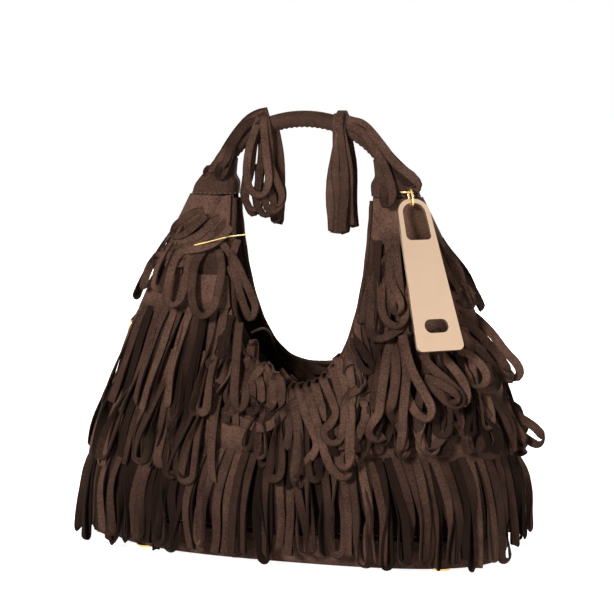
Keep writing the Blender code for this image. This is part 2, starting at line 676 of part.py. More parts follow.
def handle_flap(name, sign, first_height, last_height):
    """Three strands, uncut at their upper end, that lie along the handle, ride up over the collar
    and stick out past it."""
    levels = np.linspace(first_height, last_height, 7)
    points = handle_point(np.arcsin((levels - HANDLE_FOOT) / HANDLE_RISE))
    _, _, out = path_frames(points, (0, 1, 0))
    out *= np.sign(out[:, :1])
    over = HORN_TOP + np.array((-4, 3, 11, 19, 28)) * MM
    lift = np.interp(levels, over, np.array((19, 14, 6.9, 3.8, 0.6)) * MM)
    across = np.array([-6.9, -2.6, -2.0, 2.0, 2.6, 6.9]) * MM
    radius = HANDLE_RADIUS + 1.5 * MM
    bend = radius - np.sqrt(radius**2 - across**2)
    middle = points + out * (HANDLE_RADIUS + lift)[:, None]
    flatten = np.linspace(1, 0.3, 7)
    rows = middle[:, None, :] + np.array([0, 1, 0]) * across[None, :, None]
    rows = rows - out[:, None, :] * bend[None, :, None] * flatten[:, None, None]
    rows = rows * np.array([sign, 1, 1])
    faces = []
    for r in range(6):
        for c in range(5):
            if c % 2 == 0 or r == 0:
                low, high = (r + 1) * 6 + c, r * 6 + c
                faces.append((low, low + 1, high + 1, high) if sign > 0 else (high, high + 1, low + 1, low))
    obj = make_object(name, rows.reshape(-1, 3), faces, SUEDE_BROWN, 35)
    return thicken(obj, FRINGE_SUEDE, 1)


# Hardware


def lathe(name, profile, steps, material, matrix):
    """Turns a closed profile, whose first and last points lie on the axis, round local Z."""
    angles = np.arange(steps) / steps * 2 * math.pi
    bm = bmesh.new()
    low, high = bm.verts.new((0, 0, profile[0][1])), bm.verts.new((0, 0, profile[-1][1]))
    rings = []
    for radius, z in profile[1:-1]:
        rings.append([bm.verts.new((radius * math.cos(a), radius * math.sin(a), z)) for a in angles])
    for i in range(steps):
        n = (i + 1) % steps
        bm.faces.new((low, rings[0][n], rings[0][i]))
        bm.faces.new((high, rings[-1][i], rings[-1][n]))
        for a, b in zip(rings[:-1], rings[1:]):
            bm.faces.new((a[i], a[n], b[n], b[i]))
    obj = make_from_bmesh(name, bm, material, 35)
    obj.matrix_world = matrix
    return obj


def foot(name, x, y):
    height = BASE_UNDERSIDE - 0.3 * MM
    swell, rise = FOOT_RADIUS - FOOT_FLAT, height * 0.85
    dome = [(FOOT_FLAT + swell * math.sin(t), rise * (1 - math.cos(t))) for t in np.radians((0, 45, 90))]
    profile = [(0, 0), *dome, (FOOT_RADIUS, height), (0, height)]
    return lathe(name, profile, 10, YELLOW_GOLD, Matrix.Translation((x, y, 0)))


def snap(name, back):
    """Half of a magnetic snap, on the lining where one of its levels runs."""
    u, v = (0.5 if back else 0.0), WALL_LEVELS[-2]
    inset = SUEDE + 2 * CLEARANCE + LINING + 0.5 * MM
    place = Vector(skin(u, v, -inset))
    inward = -Vector(skin_frame(np.array(u), np.array(v))[2])
    rim = [(0, 0), (SNAP_RADIUS, 0), (SNAP_RADIUS, SNAP_THICKNESS * 0.6), (SNAP_RADIUS * 0.8, SNAP_THICKNESS)]
    radius = SNAP_STUD_RADIUS if back else SNAP_STUD_RADIUS + 0.4 * MM
    level = SNAP_THICKNESS * (1.7 if back else 0.35)
    middle = [(radius, SNAP_THICKNESS), (radius, level), (0, level)]
    turned = inward.to_track_quat("Z", "X").to_matrix().to_4x4()
    return lathe(name, rim + middle, 10, YELLOW_GOLD, Matrix.Translation(place) @ turned)


def end_frame(sign):
    """On the middle of a gusset: the skin point where the D ring hangs, the way out and the way up."""
    u = np.array(0.25 if sign > 0 else 0.75)
    v = v_at_height(u, D_RING_HEIGHT)
    _, along_v, normal = skin_frame(u, v)
    return Vector(skin(u, v, 0.0)), Vector(normal), Vector(along_v).normalized()


def d_ring_bar(sign):
    place, out, _ = end_frame(sign)
    return place + out * (0.4 * MM + TAB_WALL + PIN_CLEARANCE + D_RING_WIRE)


def d_ring(name, sign):
    """A straight bar and a half oval below it. The origin is on the bar, about which it swings."""
    _, out, up = end_frame(sign)
    half = D_RING_WIDTH / 2
    drop = D_RING_DROP
    turns = np.linspace(0, math.pi, 11)
    bow = [(-half * math.cos(t), -drop * 0.25 - drop * 0.75 * math.sin(t)) for t in turns]
    flat = [(half * 0.8, 0.0), (half * 0.3, 0.0), (-half * 0.3, 0.0), (-half * 0.8, 0.0)]
    path = np.array([np.array((0, 1, 0)) * y + np.array(up) * z for y, z in bow + flat])
    side, outer = closed_frames(path, out)
    obj = make_tube(name, tube_rings(path, side, outer, D_RING_WIRE, 6), YELLOW_GOLD, closed=True)
    obj.location = d_ring_bar(sign)
    return obj


def d_ring_tab(name, sign):
    """A strap folded round the bar of the D ring and sewn to the gusset above it."""
    place, out, up = end_frame(sign)
    radius = D_RING_WIRE + PIN_CLEARANCE + TAB_WALL / 2
    centre = radius + 0.4 * MM + TAB_WALL / 2
    turns = np.radians(np.linspace(180, 385, 9))
    loop = [(centre + radius * math.cos(t), radius * math.sin(t)) for t in turns]
    outer_run = 0.4 * MM + TAB_WALL * 1.5 + 0.4 * MM
    path = [(0.4 * MM + TAB_WALL / 2, TAB_TAIL)] + loop + [(outer_run, 5.4 * MM), (outer_run, TAB_TAIL)]
    middle = [place + out * o + up * s for o, s in path]
    across = Vector((0, TAB_WIDTH / 2, 0))
    points = [p - across for p in middle] + [p + across for p in middle]
    count = len(middle)
    faces = [(i, i + 1, count + i + 1, count + i) for i in range(count - 1)]
    obj = make_object(name, points, faces, SUEDE_BROWN, 50)
    return thicken(obj, TAB_WALL, 0)


# The tag hangs on the right horn's fringe, facing forwards and to the right.
TAG_DOWN = Vector((0.273, -0.350, -0.896)).normalized()
TAG_ACROSS = Vector((-TAG_DOWN.y, TAG_DOWN.x, 0)).normalized()
TAG_FACE = TAG_DOWN.cross(TAG_ACROSS).normalized()
EYE_CENTRE = Vector((HORN_CENTRE + EYE_OUT, -EYE_OUT, HORN_TOP - EYE_DROP))
LINK_TOP = EYE_CENTRE - TAG_DOWN * (EYE_WIRE + LINK_WIRE + 0.3 * MM)
LINK_FOOT = LINK_TOP + TAG_DOWN * 2 * LINK_HALF_LENGTH


def tag_eye():
    """A half ring of wire, both ends on the collar, whose bow the link hangs from."""
    inward = -Vector((TAG_FACE.x, TAG_FACE.y, 0)).normalized()
    turns = np.linspace(0, math.pi, 11)
    bow = [inward * (1 - math.sin(t)) + TAG_ACROSS * math.cos(t) for t in turns]
    path = np.array([tuple(EYE_CENTRE + p * EYE_RADIUS) for p in bow])
    _, side, other = path_frames(path, (0, 0, 1))
    return make_tube("tag_loop", tube_rings(path, side, other, EYE_WIRE, 6), YELLOW_GOLD)


def tag_link():
    """An oblong link round the bow of the eye above and the arch of the tag below."""
    straight = LINK_HALF_LENGTH - LINK_HALF_WIDTH
    path = []
    for sign in (1, -1):
        for t in np.linspace(-math.pi / 2, math.pi / 2, 7):
            wide, far = LINK_HALF_WIDTH * math.sin(t), straight + LINK_HALF_WIDTH * math.cos(t)
            path.append(TAG_FACE * wide * sign + TAG_DOWN * (LINK_HALF_LENGTH + far * sign))
    path = np.array([tuple(p) for p in path])
    side, outer = closed_frames(path, TAG_ACROSS)
    obj = make_tube("tag_ring", tube_rings(path, side, outer, LINK_WIRE, 6), YELLOW_GOLD, closed=True)
    obj.location = LINK_TOP
    return obj


def rounded(corners, radii, steps):
    """A polygon's outline with its corners rounded."""
    points = []
    count = len(corners)
    for i, (corner, radius) in enumerate(zip(corners, radii)):
        here = Vector(corner)
        before = (Vector(corners[i - 1]) - here).normalized()
        after = (Vector(corners[(i + 1) % count]) - here).normalized()
        half = before.angle(after) / 2
        centre = here + (before + after).normalized() * radius / math.sin(half)
        start = here + before * radius / math.tan(half) - centre
        turn = math.pi - 2 * half
        way = 1 if before.cross(after) < 0 else -1
        for k in range(steps + 1):
            angle = way * turn * k / steps
            cos, sin = math.cos(angle), math.sin(angle)
            points.append(centre + Vector((start.x * cos - start.y * sin, start.x * sin + start.y * cos)))
    return points


def tag_outline():
    """Round arch at the top, straight flaring sides, small round corners at the foot. y runs up."""
    top, low = TAG_TOP_WIDTH / 2, TAG_LOW_WIDTH / 2
    corners = [(-top, 0), (-low, -TAG_LENGTH), (low, -TAG_LENGTH), (top, 0)]
    radii = [top * 0.93, TAG_CORNER, TAG_CORNER, top * 0.93]
    return rounded(corners, radii, 6)


def tag_window():
    """The opening under the arch, a rim's width inside the outline, square at its foot."""
    top = TAG_TOP_WIDTH / 2 - TAG_RIM
    low, foot_level = top + 1.2 * MM, -TAG_RIM - WINDOW_LENGTH
    corners = [(-top, -TAG_RIM), (-low, foot_level), (low, foot_level), (top, -TAG_RIM)]
    return rounded(corners, [top * 0.93, 1.5 * MM, 1.5 * MM, top * 0.93], 4)


def tag_cutout():
    """A plain level slot with round ends near the foot."""
    half, radius = CUTOUT_LENGTH / 2, CUTOUT_HEIGHT / 2
    middle = -TAG_LENGTH + CUTOUT_ABOVE_FOOT
    top, low = middle + radius, middle - radius
    corners = [(-half, top), (-half, low), (half, low), (half, top)]
    return rounded(corners, [radius * 0.97] * 4, 4)


def tag():
    """Sheet metal with both openings, its origin where the link's lower bend carries the arch."""
    pivot_below_top = TAG_RIM + LINK_WIRE + ARCH_SEAT
    bm = bmesh.new()
    edges = []
    for outline in (tag_outline(), tag_window(), tag_cutout()):
        ring = [bm.verts.new((p.x, p.y + pivot_below_top, -TAG_THICKNESS / 2)) for p in outline]
        edges += [bm.edges.new((a, b)) for a, b in zip(ring, ring[1:] + ring[:1])]
    filled = bmesh.ops.triangle_fill(bm, use_beauty=True, edges=edges)
    faces = [item for item in filled["geom"] if isinstance(item, bmesh.types.BMFace)]
    grown = bmesh.ops.extrude_face_region(bm, geom=faces)
    lifted = [item for item in grown["geom"] if isinstance(item, bmesh.types.BMVert)]
    bmesh.ops.translate(bm, verts=lifted, vec=(0, 0, TAG_THICKNESS))
    obj = make_from_bmesh("tag", bm, PALE_GOLD, 35)
    axes = Matrix((TAG_ACROSS, -TAG_DOWN, TAG_FACE)).transposed().to_4x4()
    obj.matrix_world = Matrix.Translation(LINK_FOOT) @ axes
    return obj


def thread_loop():
    """A fine metallic thread tied round the left horn, over its fringe."""
    us = np.linspace(0.5 + 0.178, 1 - 0.178, 15)
    tilt = np.interp(us, (us[0], us[-1]), (-3 * MM, 5 * MM))
    outside = hang(us, THREAD_HEIGHT + tilt, THREAD_LIFT)
    level = (outside[0, 2] + outside[-1, 2]) / 2
    inner_x = MOUTH_HALF_WIDTH - 12 * MM
    inside = np.array([[-inner_x - abs(y) / 5, y, level] for y in (-15 * MM, 0, 15 * MM)])
    path = np.concatenate([outside, inside])
    middle = path.mean(0)
    _, _, vh = np.linalg.svd(path - middle)
    side, outer = closed_frames(path, vh[2])
    outer /= np.linalg.norm(outer, axis=1, keepdims=True)
    return make_tube("thread_loop", tube_rings(path, side, outer, THREAD_RADIUS, 4), YELLOW_GOLD, closed=True)


def hardware():
    for row, y in (("front", -FOOT_Y), ("back", FOOT_Y)):
        for side, x in (("left", -FOOT_X), ("right", FOOT_X)):
            foot(f"foot_{row}_{side}", x, y)
    for side, sign in (("right", 1), ("left", -1)):
        d_ring(f"d_ring_{side}", sign)
        d_ring_tab(f"d_ring_tab_{side}", sign)
    snap("snap_front", False)
    snap("snap_back", True)
    tag_eye()
    tag_link()
    tag()
    thread_loop()


def build_bag():
    base_panel()
    base_board()
    walls()
    lining()
    inner_pocket()
    mouth_binding("mouth_binding_front", False)
    mouth_binding("mouth_binding_back", True)
    handle()
    collar("handle_collar_right", 1)
    collar("handle_collar_left", -1)
    fringe_tiers()
    mouth_fringe()
    handle_fringe("handle_fringe_left", LEFT_BUNCH, 2, LEFT_BUNCH_ENDS, 51)
    handle_fringe("handle_fringe_right", RIGHT_BUNCH, 2, RIGHT_BUNCH_ENDS, 52)
    handle_flap("handle_flap_right", 1, COLLAR_HIGH + 9 * MM, HORN_TOP - 5 * MM)
    handle_flap("handle_flap_left", -1, COLLAR_HIGH + 9 * MM, HORN_TOP + 1 * MM)
    hardware()


build_bag()
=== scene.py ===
import math

import bmesh
import bpy
import numpy as np
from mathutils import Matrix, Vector


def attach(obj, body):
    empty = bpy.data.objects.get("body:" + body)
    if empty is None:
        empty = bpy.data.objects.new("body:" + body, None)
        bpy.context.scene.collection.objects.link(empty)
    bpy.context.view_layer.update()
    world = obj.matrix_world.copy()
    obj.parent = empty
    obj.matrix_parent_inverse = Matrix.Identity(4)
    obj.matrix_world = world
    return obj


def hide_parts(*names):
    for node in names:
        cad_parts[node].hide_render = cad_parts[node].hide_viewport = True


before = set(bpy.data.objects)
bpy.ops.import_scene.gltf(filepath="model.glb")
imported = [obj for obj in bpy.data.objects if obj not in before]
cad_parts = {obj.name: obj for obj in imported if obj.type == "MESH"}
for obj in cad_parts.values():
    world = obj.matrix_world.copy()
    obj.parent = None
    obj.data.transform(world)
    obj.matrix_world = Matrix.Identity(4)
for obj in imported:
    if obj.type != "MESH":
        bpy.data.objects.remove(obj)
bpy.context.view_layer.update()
mm = 0.001
print("frame loaded")


def unit(a):
    return a / np.linalg.norm(a, axis=-1, keepdims=True)


def smooth(x):
    x = np.clip(x, 0, 1)
    return x * x * (3 - 2 * x)


# One grid or a stack of equal grids, points[..., rows, columns, xyz], as one mesh object.
# wrapRows and wrapColumns join a grid's last row or column to its first.
# weld joins points that lie together, which closes the poles.
def gridPiece(name, points, wrapRows=False, wrapColumns=False, tone=None, flip=False, uv=None, weld=False):
    points = np.asarray(points, float)
    stack = points.reshape((-1,) + points.shape[-3:])
    count, rows, columns, _ = stack.shape
    number = np.arange(count * rows * columns).reshape(count, rows, columns)
    down = np.roll(number, -1, axis=1) if wrapRows else number[:, 1:]
    here = number if wrapRows else number[:, :-1]
    if wrapColumns:
        quads = np.stack([here, np.roll(here, -1, axis=2), np.roll(down, -1, axis=2), down], -1)
    else:
        quads = np.stack([here[:, :, :-1], here[:, :, 1:], down[:, :, 1:], down[:, :, :-1]], -1)
    quads = quads.reshape(-1, 4)
    if flip:
        quads = quads[:, ::-1]
    mesh = bpy.data.meshes.new(name)
    mesh.vertices.add(count * rows * columns)
    mesh.vertices.foreach_set("co", stack.astype(np.float32).ravel())
    mesh.loops.add(quads.size)
    mesh.loops.foreach_set("vertex_index", quads.astype(np.int32).ravel())
    mesh.polygons.add(len(quads))
    mesh.polygons.foreach_set("loop_start", np.arange(0, quads.size, 4, dtype=np.int32))
    mesh.update(calc_edges=True)
    if uv is None:
        across = np.broadcast_to(np.linspace(0, 1, columns), (count, rows, columns))
        along = np.broadcast_to(np.linspace(0, 1, rows)[:, None], (count, rows, columns))
        uv = np.stack([across, along], -1)
    layer = mesh.uv_layers.new(name="map")
    layer.data.foreach_set("uv", uv.reshape(-1, 2)[quads.ravel()].astype(np.float32).ravel())
    if tone is not None:
        shade = mesh.attributes.new("tone", "FLOAT", "POINT")
        tone = np.reshape(tone, np.shape(tone) + (1,) * (3 - np.ndim(tone)))
        shade.data.foreach_set("value", np.broadcast_to(tone, (count, rows, columns)).astype(np.float32).ravel())
    if weld:
        shape = bmesh.new()
        shape.from_mesh(mesh)
        bmesh.ops.remove_doubles(shape, verts=shape.verts, dist=1e-6)
        shape.to_mesh(mesh)
        shape.free()
    mesh.shade_smooth()
    piece = bpy.data.objects.new(name, mesh)
    bpy.context.collection.objects.link(piece)
    return piece


# A wall of the given thickness, closed all round, with its edges kept crisp.
def thicken(piece, thickness, offset=0.0):
    wall = piece.modifiers.new("wall", "SOLIDIFY")
    wall.thickness = thickness
    wall.offset = offset
    graph = bpy.context.evaluated_depsgraph_get()
    shown = piece.evaluated_get(graph)
    solid = bpy.data.meshes.new_from_object(shown, preserve_all_data_layers=True, depsgraph=graph)
    piece.modifiers.clear()
    piece.data = solid
    solid.name = piece.name
    solid.set_sharp_from_angle(angle=math.radians(60))
    return piece


# A round tube: a circle of the given radius carried along path, square to it.
# The frame is carried on from point to point, so it never twists by more than the path does.
def tubePoints(path, radius, sides=12, closed=False, hint=(0, 0, 1)):
    path = np.asarray(path, float)
    if closed:
        ahead = unit(np.roll(path, -1, 0) - np.roll(path, 1, 0))
    else:
        ahead = unit(np.gradient(path, axis=0))
    side = np.zeros_like(path)
    last = np.asarray(hint, float)
    for i, way in enumerate(ahead):
        last = last - way * (last @ way)
        last = last / np.linalg.norm(last)
        side[i] = last
    other = np.cross(ahead, side)
    turn = np.arange(sides) / sides * 2 * math.pi
    radius = np.broadcast_to(radius, (len(path),))[:, None, None]
    ring = np.cos(turn)[None, :, None] * side[:, None] + np.sin(turn)[None, :, None] * other[:, None]
    return path[:, None] + radius * ring


def tubePiece(name, path, radius, sides=12, closed=False, hint=(0, 0, 1), tone=None):
    points = tubePoints(path, radius, sides, closed, hint)
    if not closed:      # a last ring of no size closes each end
        points = np.concatenate([np.repeat(points[:1].mean(1, keepdims=True), sides, 1), points,
                                 np.repeat(points[-1:].mean(1, keepdims=True), sides, 1)])
    return gridPiece(name, points, wrapRows=closed, wrapColumns=True, tone=tone, weld=not closed)


# Catmull-Rom curve through a few points.
def curveThrough(points, count):
    points = np.asarray(points, float)
    padded = np.concatenate([2 * points[:1] - points[1:2], points, 2 * points[-1:] - points[-2:-1]])
    t = np.linspace(0, len(points) - 1 - 1e-9, count)
    i = t.astype(int)
    f = (t - i)[:, None]
    a, b, c, d = padded[i], padded[i + 1], padded[i + 2], padded[i + 3]
    return 0.5 * (2 * b + (c - a) * f + (2 * a - 5 * b + 4 * c - d) * f**2 + (3 * b - a - 3 * c + d) * f**3)


class Wire:     # a node's output, with arithmetic
    def __init__(self, board, socket):
        self.board = board
        self.socket = socket

    def __add__(self, other):
        return self.board.maths("ADD", self, other)

    def __sub__(self, other):
        return self.board.maths("SUBTRACT", self, other)

    def __mul__(self, other):
        return self.board.maths("MULTIPLY", self, other)

    def __pow__(self, other):
        return self.board.maths("POWER", self, other)

    __radd__ = __add__


class Board:    # a material's node tree
    def __init__(self, name, slotName):
        self.material = bpy.data.materials.new(name)
        self.material.use_nodes = True
        self.tree = self.material.node_tree
        self.shader = self.tree.nodes["Principled BSDF"]
        self.slotName = slotName
        self.places = self.node("ShaderNodeTexCoord")

    def node(self, kind, settings=None, **values):
        made = self.tree.nodes.new(kind)
        for key, value in (settings or {}).items():
            setattr(made, key, value)
        for key, value in values.items():
            self.feed(made.inputs[key.replace("_", " ")], value)
        return made

    def feed(self, socket, value):
        if isinstance(value, Wire):
            self.tree.links.new(value.socket, socket)
        else:
            socket.default_value = value

    def maths(self, operation, a, b=0.0):
        made = self.tree.nodes.new("ShaderNodeMath")
        made.operation = operation
        self.feed(made.inputs[0], a)
        self.feed(made.inputs[1], b)
        return Wire(self, made.outputs[0])

    def place(self, stretch=(1, 1, 1)):
        made = self.node("ShaderNodeMapping", Vector=Wire(self, self.places.outputs["Object"]), Scale=stretch)
        return Wire(self, made.outputs[0])

    def surface(self):      # the piece's own map: x across it, y along it
        made = self.node("ShaderNodeSeparateXYZ", Vector=Wire(self, self.places.outputs["UV"]))
        return Wire(self, made.outputs[0]), Wire(self, made.outputs[1])

    def noise(self, scale, detail=3.0, stretch=(1, 1, 1)):
        made = self.node("ShaderNodeTexNoise", Vector=self.place(stretch), Scale=scale, Detail=detail)
        return Wire(self, made.outputs["Fac"])

    def attribute(self, name):
        made = self.node("ShaderNodeAttribute", {"attribute_name": name})
        return Wire(self, made.outputs["Fac"])

    def ramp(self, value, low, high):
        made = self.node("ShaderNodeMapRange", Value=value, From_Min=low, From_Max=high)
        return Wire(self, made.outputs["Result"])

    def mix(self, factor, colourA, colourB):
        made = self.tree.nodes.new("ShaderNodeMix")
        made.data_type = "RGBA"
        self.feed(made.inputs[0], factor)
        self.feed(made.inputs[6], colourA if isinstance(colourA, Wire) else (*colourA, 1))
        self.feed(made.inputs[7], colourB if isinstance(colourB, Wire) else (*colourB, 1))
        return Wire(self, made.outputs[2])

    def finish(self, colour, roughness, height=None, depth=0.2 * mm, strength=1.0, **fixed):
        self.feed(self.shader.inputs["Base Color"], colour if isinstance(colour, Wire) else (*colour, 1))
        self.feed(self.shader.inputs["Roughness"], roughness)
        if height is not None:
            bump = self.node("ShaderNodeBump", Height=height, Distance=depth, Strength=strength)
            self.feed(self.shader.inputs["Normal"], Wire(self, bump.outputs[0]))
        for key, value in fixed.items():
            self.shader.inputs[key.replace("_", " ")].default_value = value
        return self


suedeLook = {
    "lit": (0.184, 0.097, 0.068),       # nap brushed towards the light
    "deep": (0.046, 0.023, 0.016),      # nap brushed away
    "edge": (0.026, 0.013, 0.009),      # the cut edges of a strand
    "paintedShadeAndDarkTone": (0.008, 0.0036, 0.0022), # painted shade, and strands darker at random: the dark end of the tone mix
    "smoothPaintedShade": 0.5,                        # painted shade on the smooth parts, which stay darker than the strands
    "grain": 800.0,                     # nap grain, in cells a metre
    "mottle": 55.0,                     # patches left by handling
}


def suede(name, strands=False):
    board = Board(name, "suede_brown")
    patches = board.noise(suedeLook["mottle"], 2.0)
    nap = board.noise(suedeLook["grain"], 2.0)
    fine = board.noise(suedeLook["grain"] * 2.7, 1.0)
    mixed = board.ramp(patches * 0.45 + nap * 0.75 + fine * 0.35, 0.57, 1.08)
    colour = board.mix(mixed, suedeLook["deep"], suedeLook["lit"])
    if strands:
        across, _ = board.surface()
        rim = board.maths("ABSOLUTE", across * 2 - 1) ** 9
        colour = board.mix(rim * 0.8, colour, suedeLook["edge"])
    # tone mixes in painted shade (under the fringe, legs behind, headers, smooth parts) and strands darker at
    # random
    colour = board.mix(board.attribute("tone"), colour, suedeLook["paintedShadeAndDarkTone"])
    board.finish(colour, 0.92 + nap * 0.08, nap + fine * 0.6, 0.3 * mm, 0.8,
                 Sheen_Weight=0.1, Sheen_Roughness=0.35, Specular_IOR_Level=0.1)
    board.shader.inputs["Sheen Tint"].default_value = (0.80, 0.55, 0.42, 1)
    return board


metalLook = {
    "tag": (0.68, 0.49, 0.345),
    "tagWorn": (0.63, 0.44, 0.30),
    "gold": (0.83, 0.60, 0.28),
    "goldWorn": (0.62, 0.42, 0.18),
}


def satinPlate(name):
    board = Board(name, "pale_gold")
    brushed = board.noise(260.0, 4.0, (1, 1, 0.03))
    cloud = board.noise(30.0, 2.0)
    colour = board.mix(cloud, metalLook["tag"], metalLook["tagWorn"])
    return board.finish(colour, 0.30 + brushed * 0.16, brushed, 0.02 * mm, 0.35, Metallic=1.0)


def polishedGold(name):
    board = Board(name, "yellow_gold")
    cloud = board.noise(120.0, 3.0)
    scuff = board.noise(700.0, 3.0)
    colour = board.mix(board.ramp(cloud, 0.4, 0.8), metalLook["gold"], metalLook["goldWorn"])
    return board.finish(colour, 0.16 + scuff * 0.22, scuff, 0.01 * mm, 0.4, Metallic=1.0)


def spunThread(name):
    board = Board(name, "yellow_gold")
    across, along = board.surface()
    plies = board.maths("SINE", along * 900 + across * 12.6) * 0.5 + 0.5
    colour = board.mix(plies, (0.50, 0.34, 0.12), (0.80, 0.60, 0.25))
    return board.finish(colour, 0.35 + plies * 0.2, plies, 0.2 * mm, 0.8, Metallic=0.7)


def wovenLining(name):
    board = Board(name, "lining_cloth")
    weave = board.node("ShaderNodeTexWave", {"wave_type": "BANDS", "bands_direction": "DIAGONAL"},
                       Vector=board.place(), Scale=420.0, Distortion=0.5)
    weave = Wire(board, weave.outputs["Fac"])
    soft = board.noise(35.0, 2.0)
    colour = board.mix(board.ramp(weave * 0.5 + soft, 0.3, 1.1), (0.045, 0.026, 0.020), (0.085, 0.052, 0.040))
    return board.finish(colour, 0.75 + weave * 0.15, weave, 0.15 * mm, 0.6)


def stitchThread(name):
    board = Board(name, "suede_brown")
    twist = board.noise(1500.0, 2.0)
    colour = board.mix(twist, (0.05, 0.028, 0.02), (0.12, 0.07, 0.05))
    return board.finish(colour, 0.55 + twist * 0.2, twist, 0.1 * mm, 0.5)


def cottonCord(name):
    board = Board(name, "cord_core")
    twist = board.noise(500.0, 3.0)
    colour = board.mix(twist, (0.45, 0.40, 0.33), (0.62, 0.57, 0.49))
    return board.finish(colour, 0.85 + twist * 0.1, twist, 0.3 * mm, 0.6)


def greyBoard(name):
    board = Board(name, "grey_board")
    flecks = board.noise(400.0, 4.0)
    colour = board.mix(flecks, (0.20, 0.18, 0.17), (0.30, 0.28, 0.26))
    return board.finish(colour, 0.8 + flecks * 0.15, flecks, 0.1 * mm, 0.4)


suedeSmooth = suede("suedeSmooth")
suedeStrand = suede("suedeStrand", strands=True)
tagMetal = satinPlate("tagMetal")
goldMetal = polishedGold("goldMetal")
threadMetal = spunThread("threadMetal")
liningCloth = wovenLining("liningCloth")
seamThread = stitchThread("seamThread")
cordCotton = cottonCord("cordCotton")
boardGrey = greyBoard("boardGrey")
print("finishes ready")


def place(piece, board, body, *nodes):
    piece.data.materials.clear()
    piece.data.materials.append(board.material)
    if nodes:
        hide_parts(*nodes)
    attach(piece, body)
    return piece


# A sheet's surface, as a stack of grids with each ring closed again when wrapped; nothing is worked out from it or
# kept.
def declareSheet(surface, wrapped=False):
    stack = np.asarray(surface, float).reshape((-1,) + np.shape(surface)[-3:])
    if wrapped:
        stack = np.concatenate([stack, stack[:, :, :1]], 2)


cameraView = {"azimuth": 16.4, "elevation": 7.35, "distance": 1.4, "lens": 100.8, "target": (0.002, 0, 0.199)}


def makeCamera():
    a, e = math.radians(cameraView["azimuth"]), math.radians(cameraView["elevation"])
    target = Vector(cameraView["target"])
    back = Vector((math.sin(a) * math.cos(e), -math.cos(a) * math.cos(e), math.sin(e)))
    data = bpy.data.cameras.new("camera")
    data.lens = cameraView["lens"]
    data.sensor_width = 36
    data.dof.use_dof = False
    eye = bpy.data.objects.new("camera", data)
    eye.location = target + back * cameraView["distance"]
    eye.rotation_euler = (target - eye.location).to_track_quat("-Z", "Y").to_euler()
    bpy.context.collection.objects.link(eye)
    bpy.context.scene.camera = eye


makeCamera()


bagShape = {
    "baseLength": 168 * mm, "baseDepth": 62 * mm, "baseRound": 2.6, "seam": 26 * mm,
    "mouthFront": 138 * mm, "mouthBack": 146 * mm, "mouthWidth": 58.5 * mm, "mouthDepth": 45 * mm,
    "mouthRound": 2.8, "slit": 5 * mm, "hornTop": 304 * mm, "hornX": 73.5 * mm, "hornWidth": 15 * mm,
    "hornDepth": 11 * mm, "share": 0.78, "suede": 1.6 * mm,
    "handleSpan": 77 * mm, "handleFoot": 286 * mm, "handleRise": 65.5 * mm, "handleRadius": 6.5 * mm,
}


# u goes once round the bag: 0 front middle, 0.25 right end, 0.5 back middle, 0.75 left end.
def quarterTurn(u):
    turn = np.mod(u, 1.0) * 4
    number = np.minimum(turn.astype(int), 3)
    part = turn - number
    share = np.where(number % 2 == 0, part, 1 - part)
    return share, np.where(number < 2, 1.0, -1.0), np.where((number == 0) | (number == 3), -1.0, 1.0)


# Superellipse of the base seam: x = length sin^(2/n), y = depth cos^(2/n).
def seamLine(u):
    share, sx, sy = quarterTurn(u)
    s, c = np.sin(share * math.pi / 2), np.abs(np.cos(share * math.pi / 2))
    n = bagShape["baseRound"]
    x, y = bagShape["baseLength"] * s ** (2 / n), bagShape["baseDepth"] * c ** (2 / n)
    nx, ny = s ** (2 - 2 / n) / bagShape["baseLength"], c ** (2 - 2 / n) / bagShape["baseDepth"]
    size = np.hypot(nx, ny)
    rim = np.stack([sx * x, sy * y, np.full_like(x, bagShape["seam"])], -1)
    return rim, np.stack([sx * nx / size, sy * ny / size, 0 * x], -1)


# Mouth edge, a superellipse cut of the opening, then half an ellipse round each horn's top.
def topLine(u):
    b = bagShape
    share, sx, sy = quarterTurn(u)
    low = np.where(sy < 0, b["mouthFront"], b["mouthBack"])
    climb = np.clip(share / b["share"], 0, 1) * math.pi / 2
    c = np.abs(np.cos(climb))
    x = b["mouthWidth"] * np.sin(climb) ** (2 / b["mouthRound"])
    z = b["hornTop"] - (b["hornTop"] - low) * c ** (2 / b["mouthRound"])
    y = b["slit"] + (b["mouthDepth"] - b["slit"]) * c**0.9
    first = math.asin(b["slit"] / b["hornDepth"])
    turn = (math.pi - first) * (1 - np.clip((share - b["share"]) / (1 - b["share"]), 0, 1))
    inner = b["hornX"] - b["hornWidth"] * math.cos(first)
    hornX = b["hornX"] + b["hornWidth"] * np.cos(turn) + (b["mouthWidth"] - inner) * turn / (math.pi - first)
    horn = share > b["share"]
    x = np.where(horn, hornX, x)
    y = np.where(horn, b["hornDepth"] * np.sin(turn), y)
    z = np.where(horn, b["hornTop"], z)
    return np.stack([sx * x, sy * y, z], -1)


# Each meridian is a cubic Bezier curve from the seam, out over the belly and in to the top line.
def skinBare(u, v):
    u, v = np.broadcast_arrays(np.asarray(u, float), np.asarray(v, float))
    share, _, _ = quarterTurn(u)
    rim, out = seamLine(u)
    top = topLine(u)
    rise = (top[..., 2] - rim[..., 2])[..., None]
    up = np.array([0, 0, 1.0])
    first = rim + out * ((12 + 12 * share) * mm)[..., None] + up * rise * 0.30
    second = top + (rim - top) * np.array([1, 1, 0]) * 0.32 + out * 10 * mm - up * rise * 0.27
    w = v[..., None]
    return rim * (1 - w) ** 3 + first * 3 * w * (1 - w) ** 2 + second * 3 * w**2 * (1 - w) + top * w**3


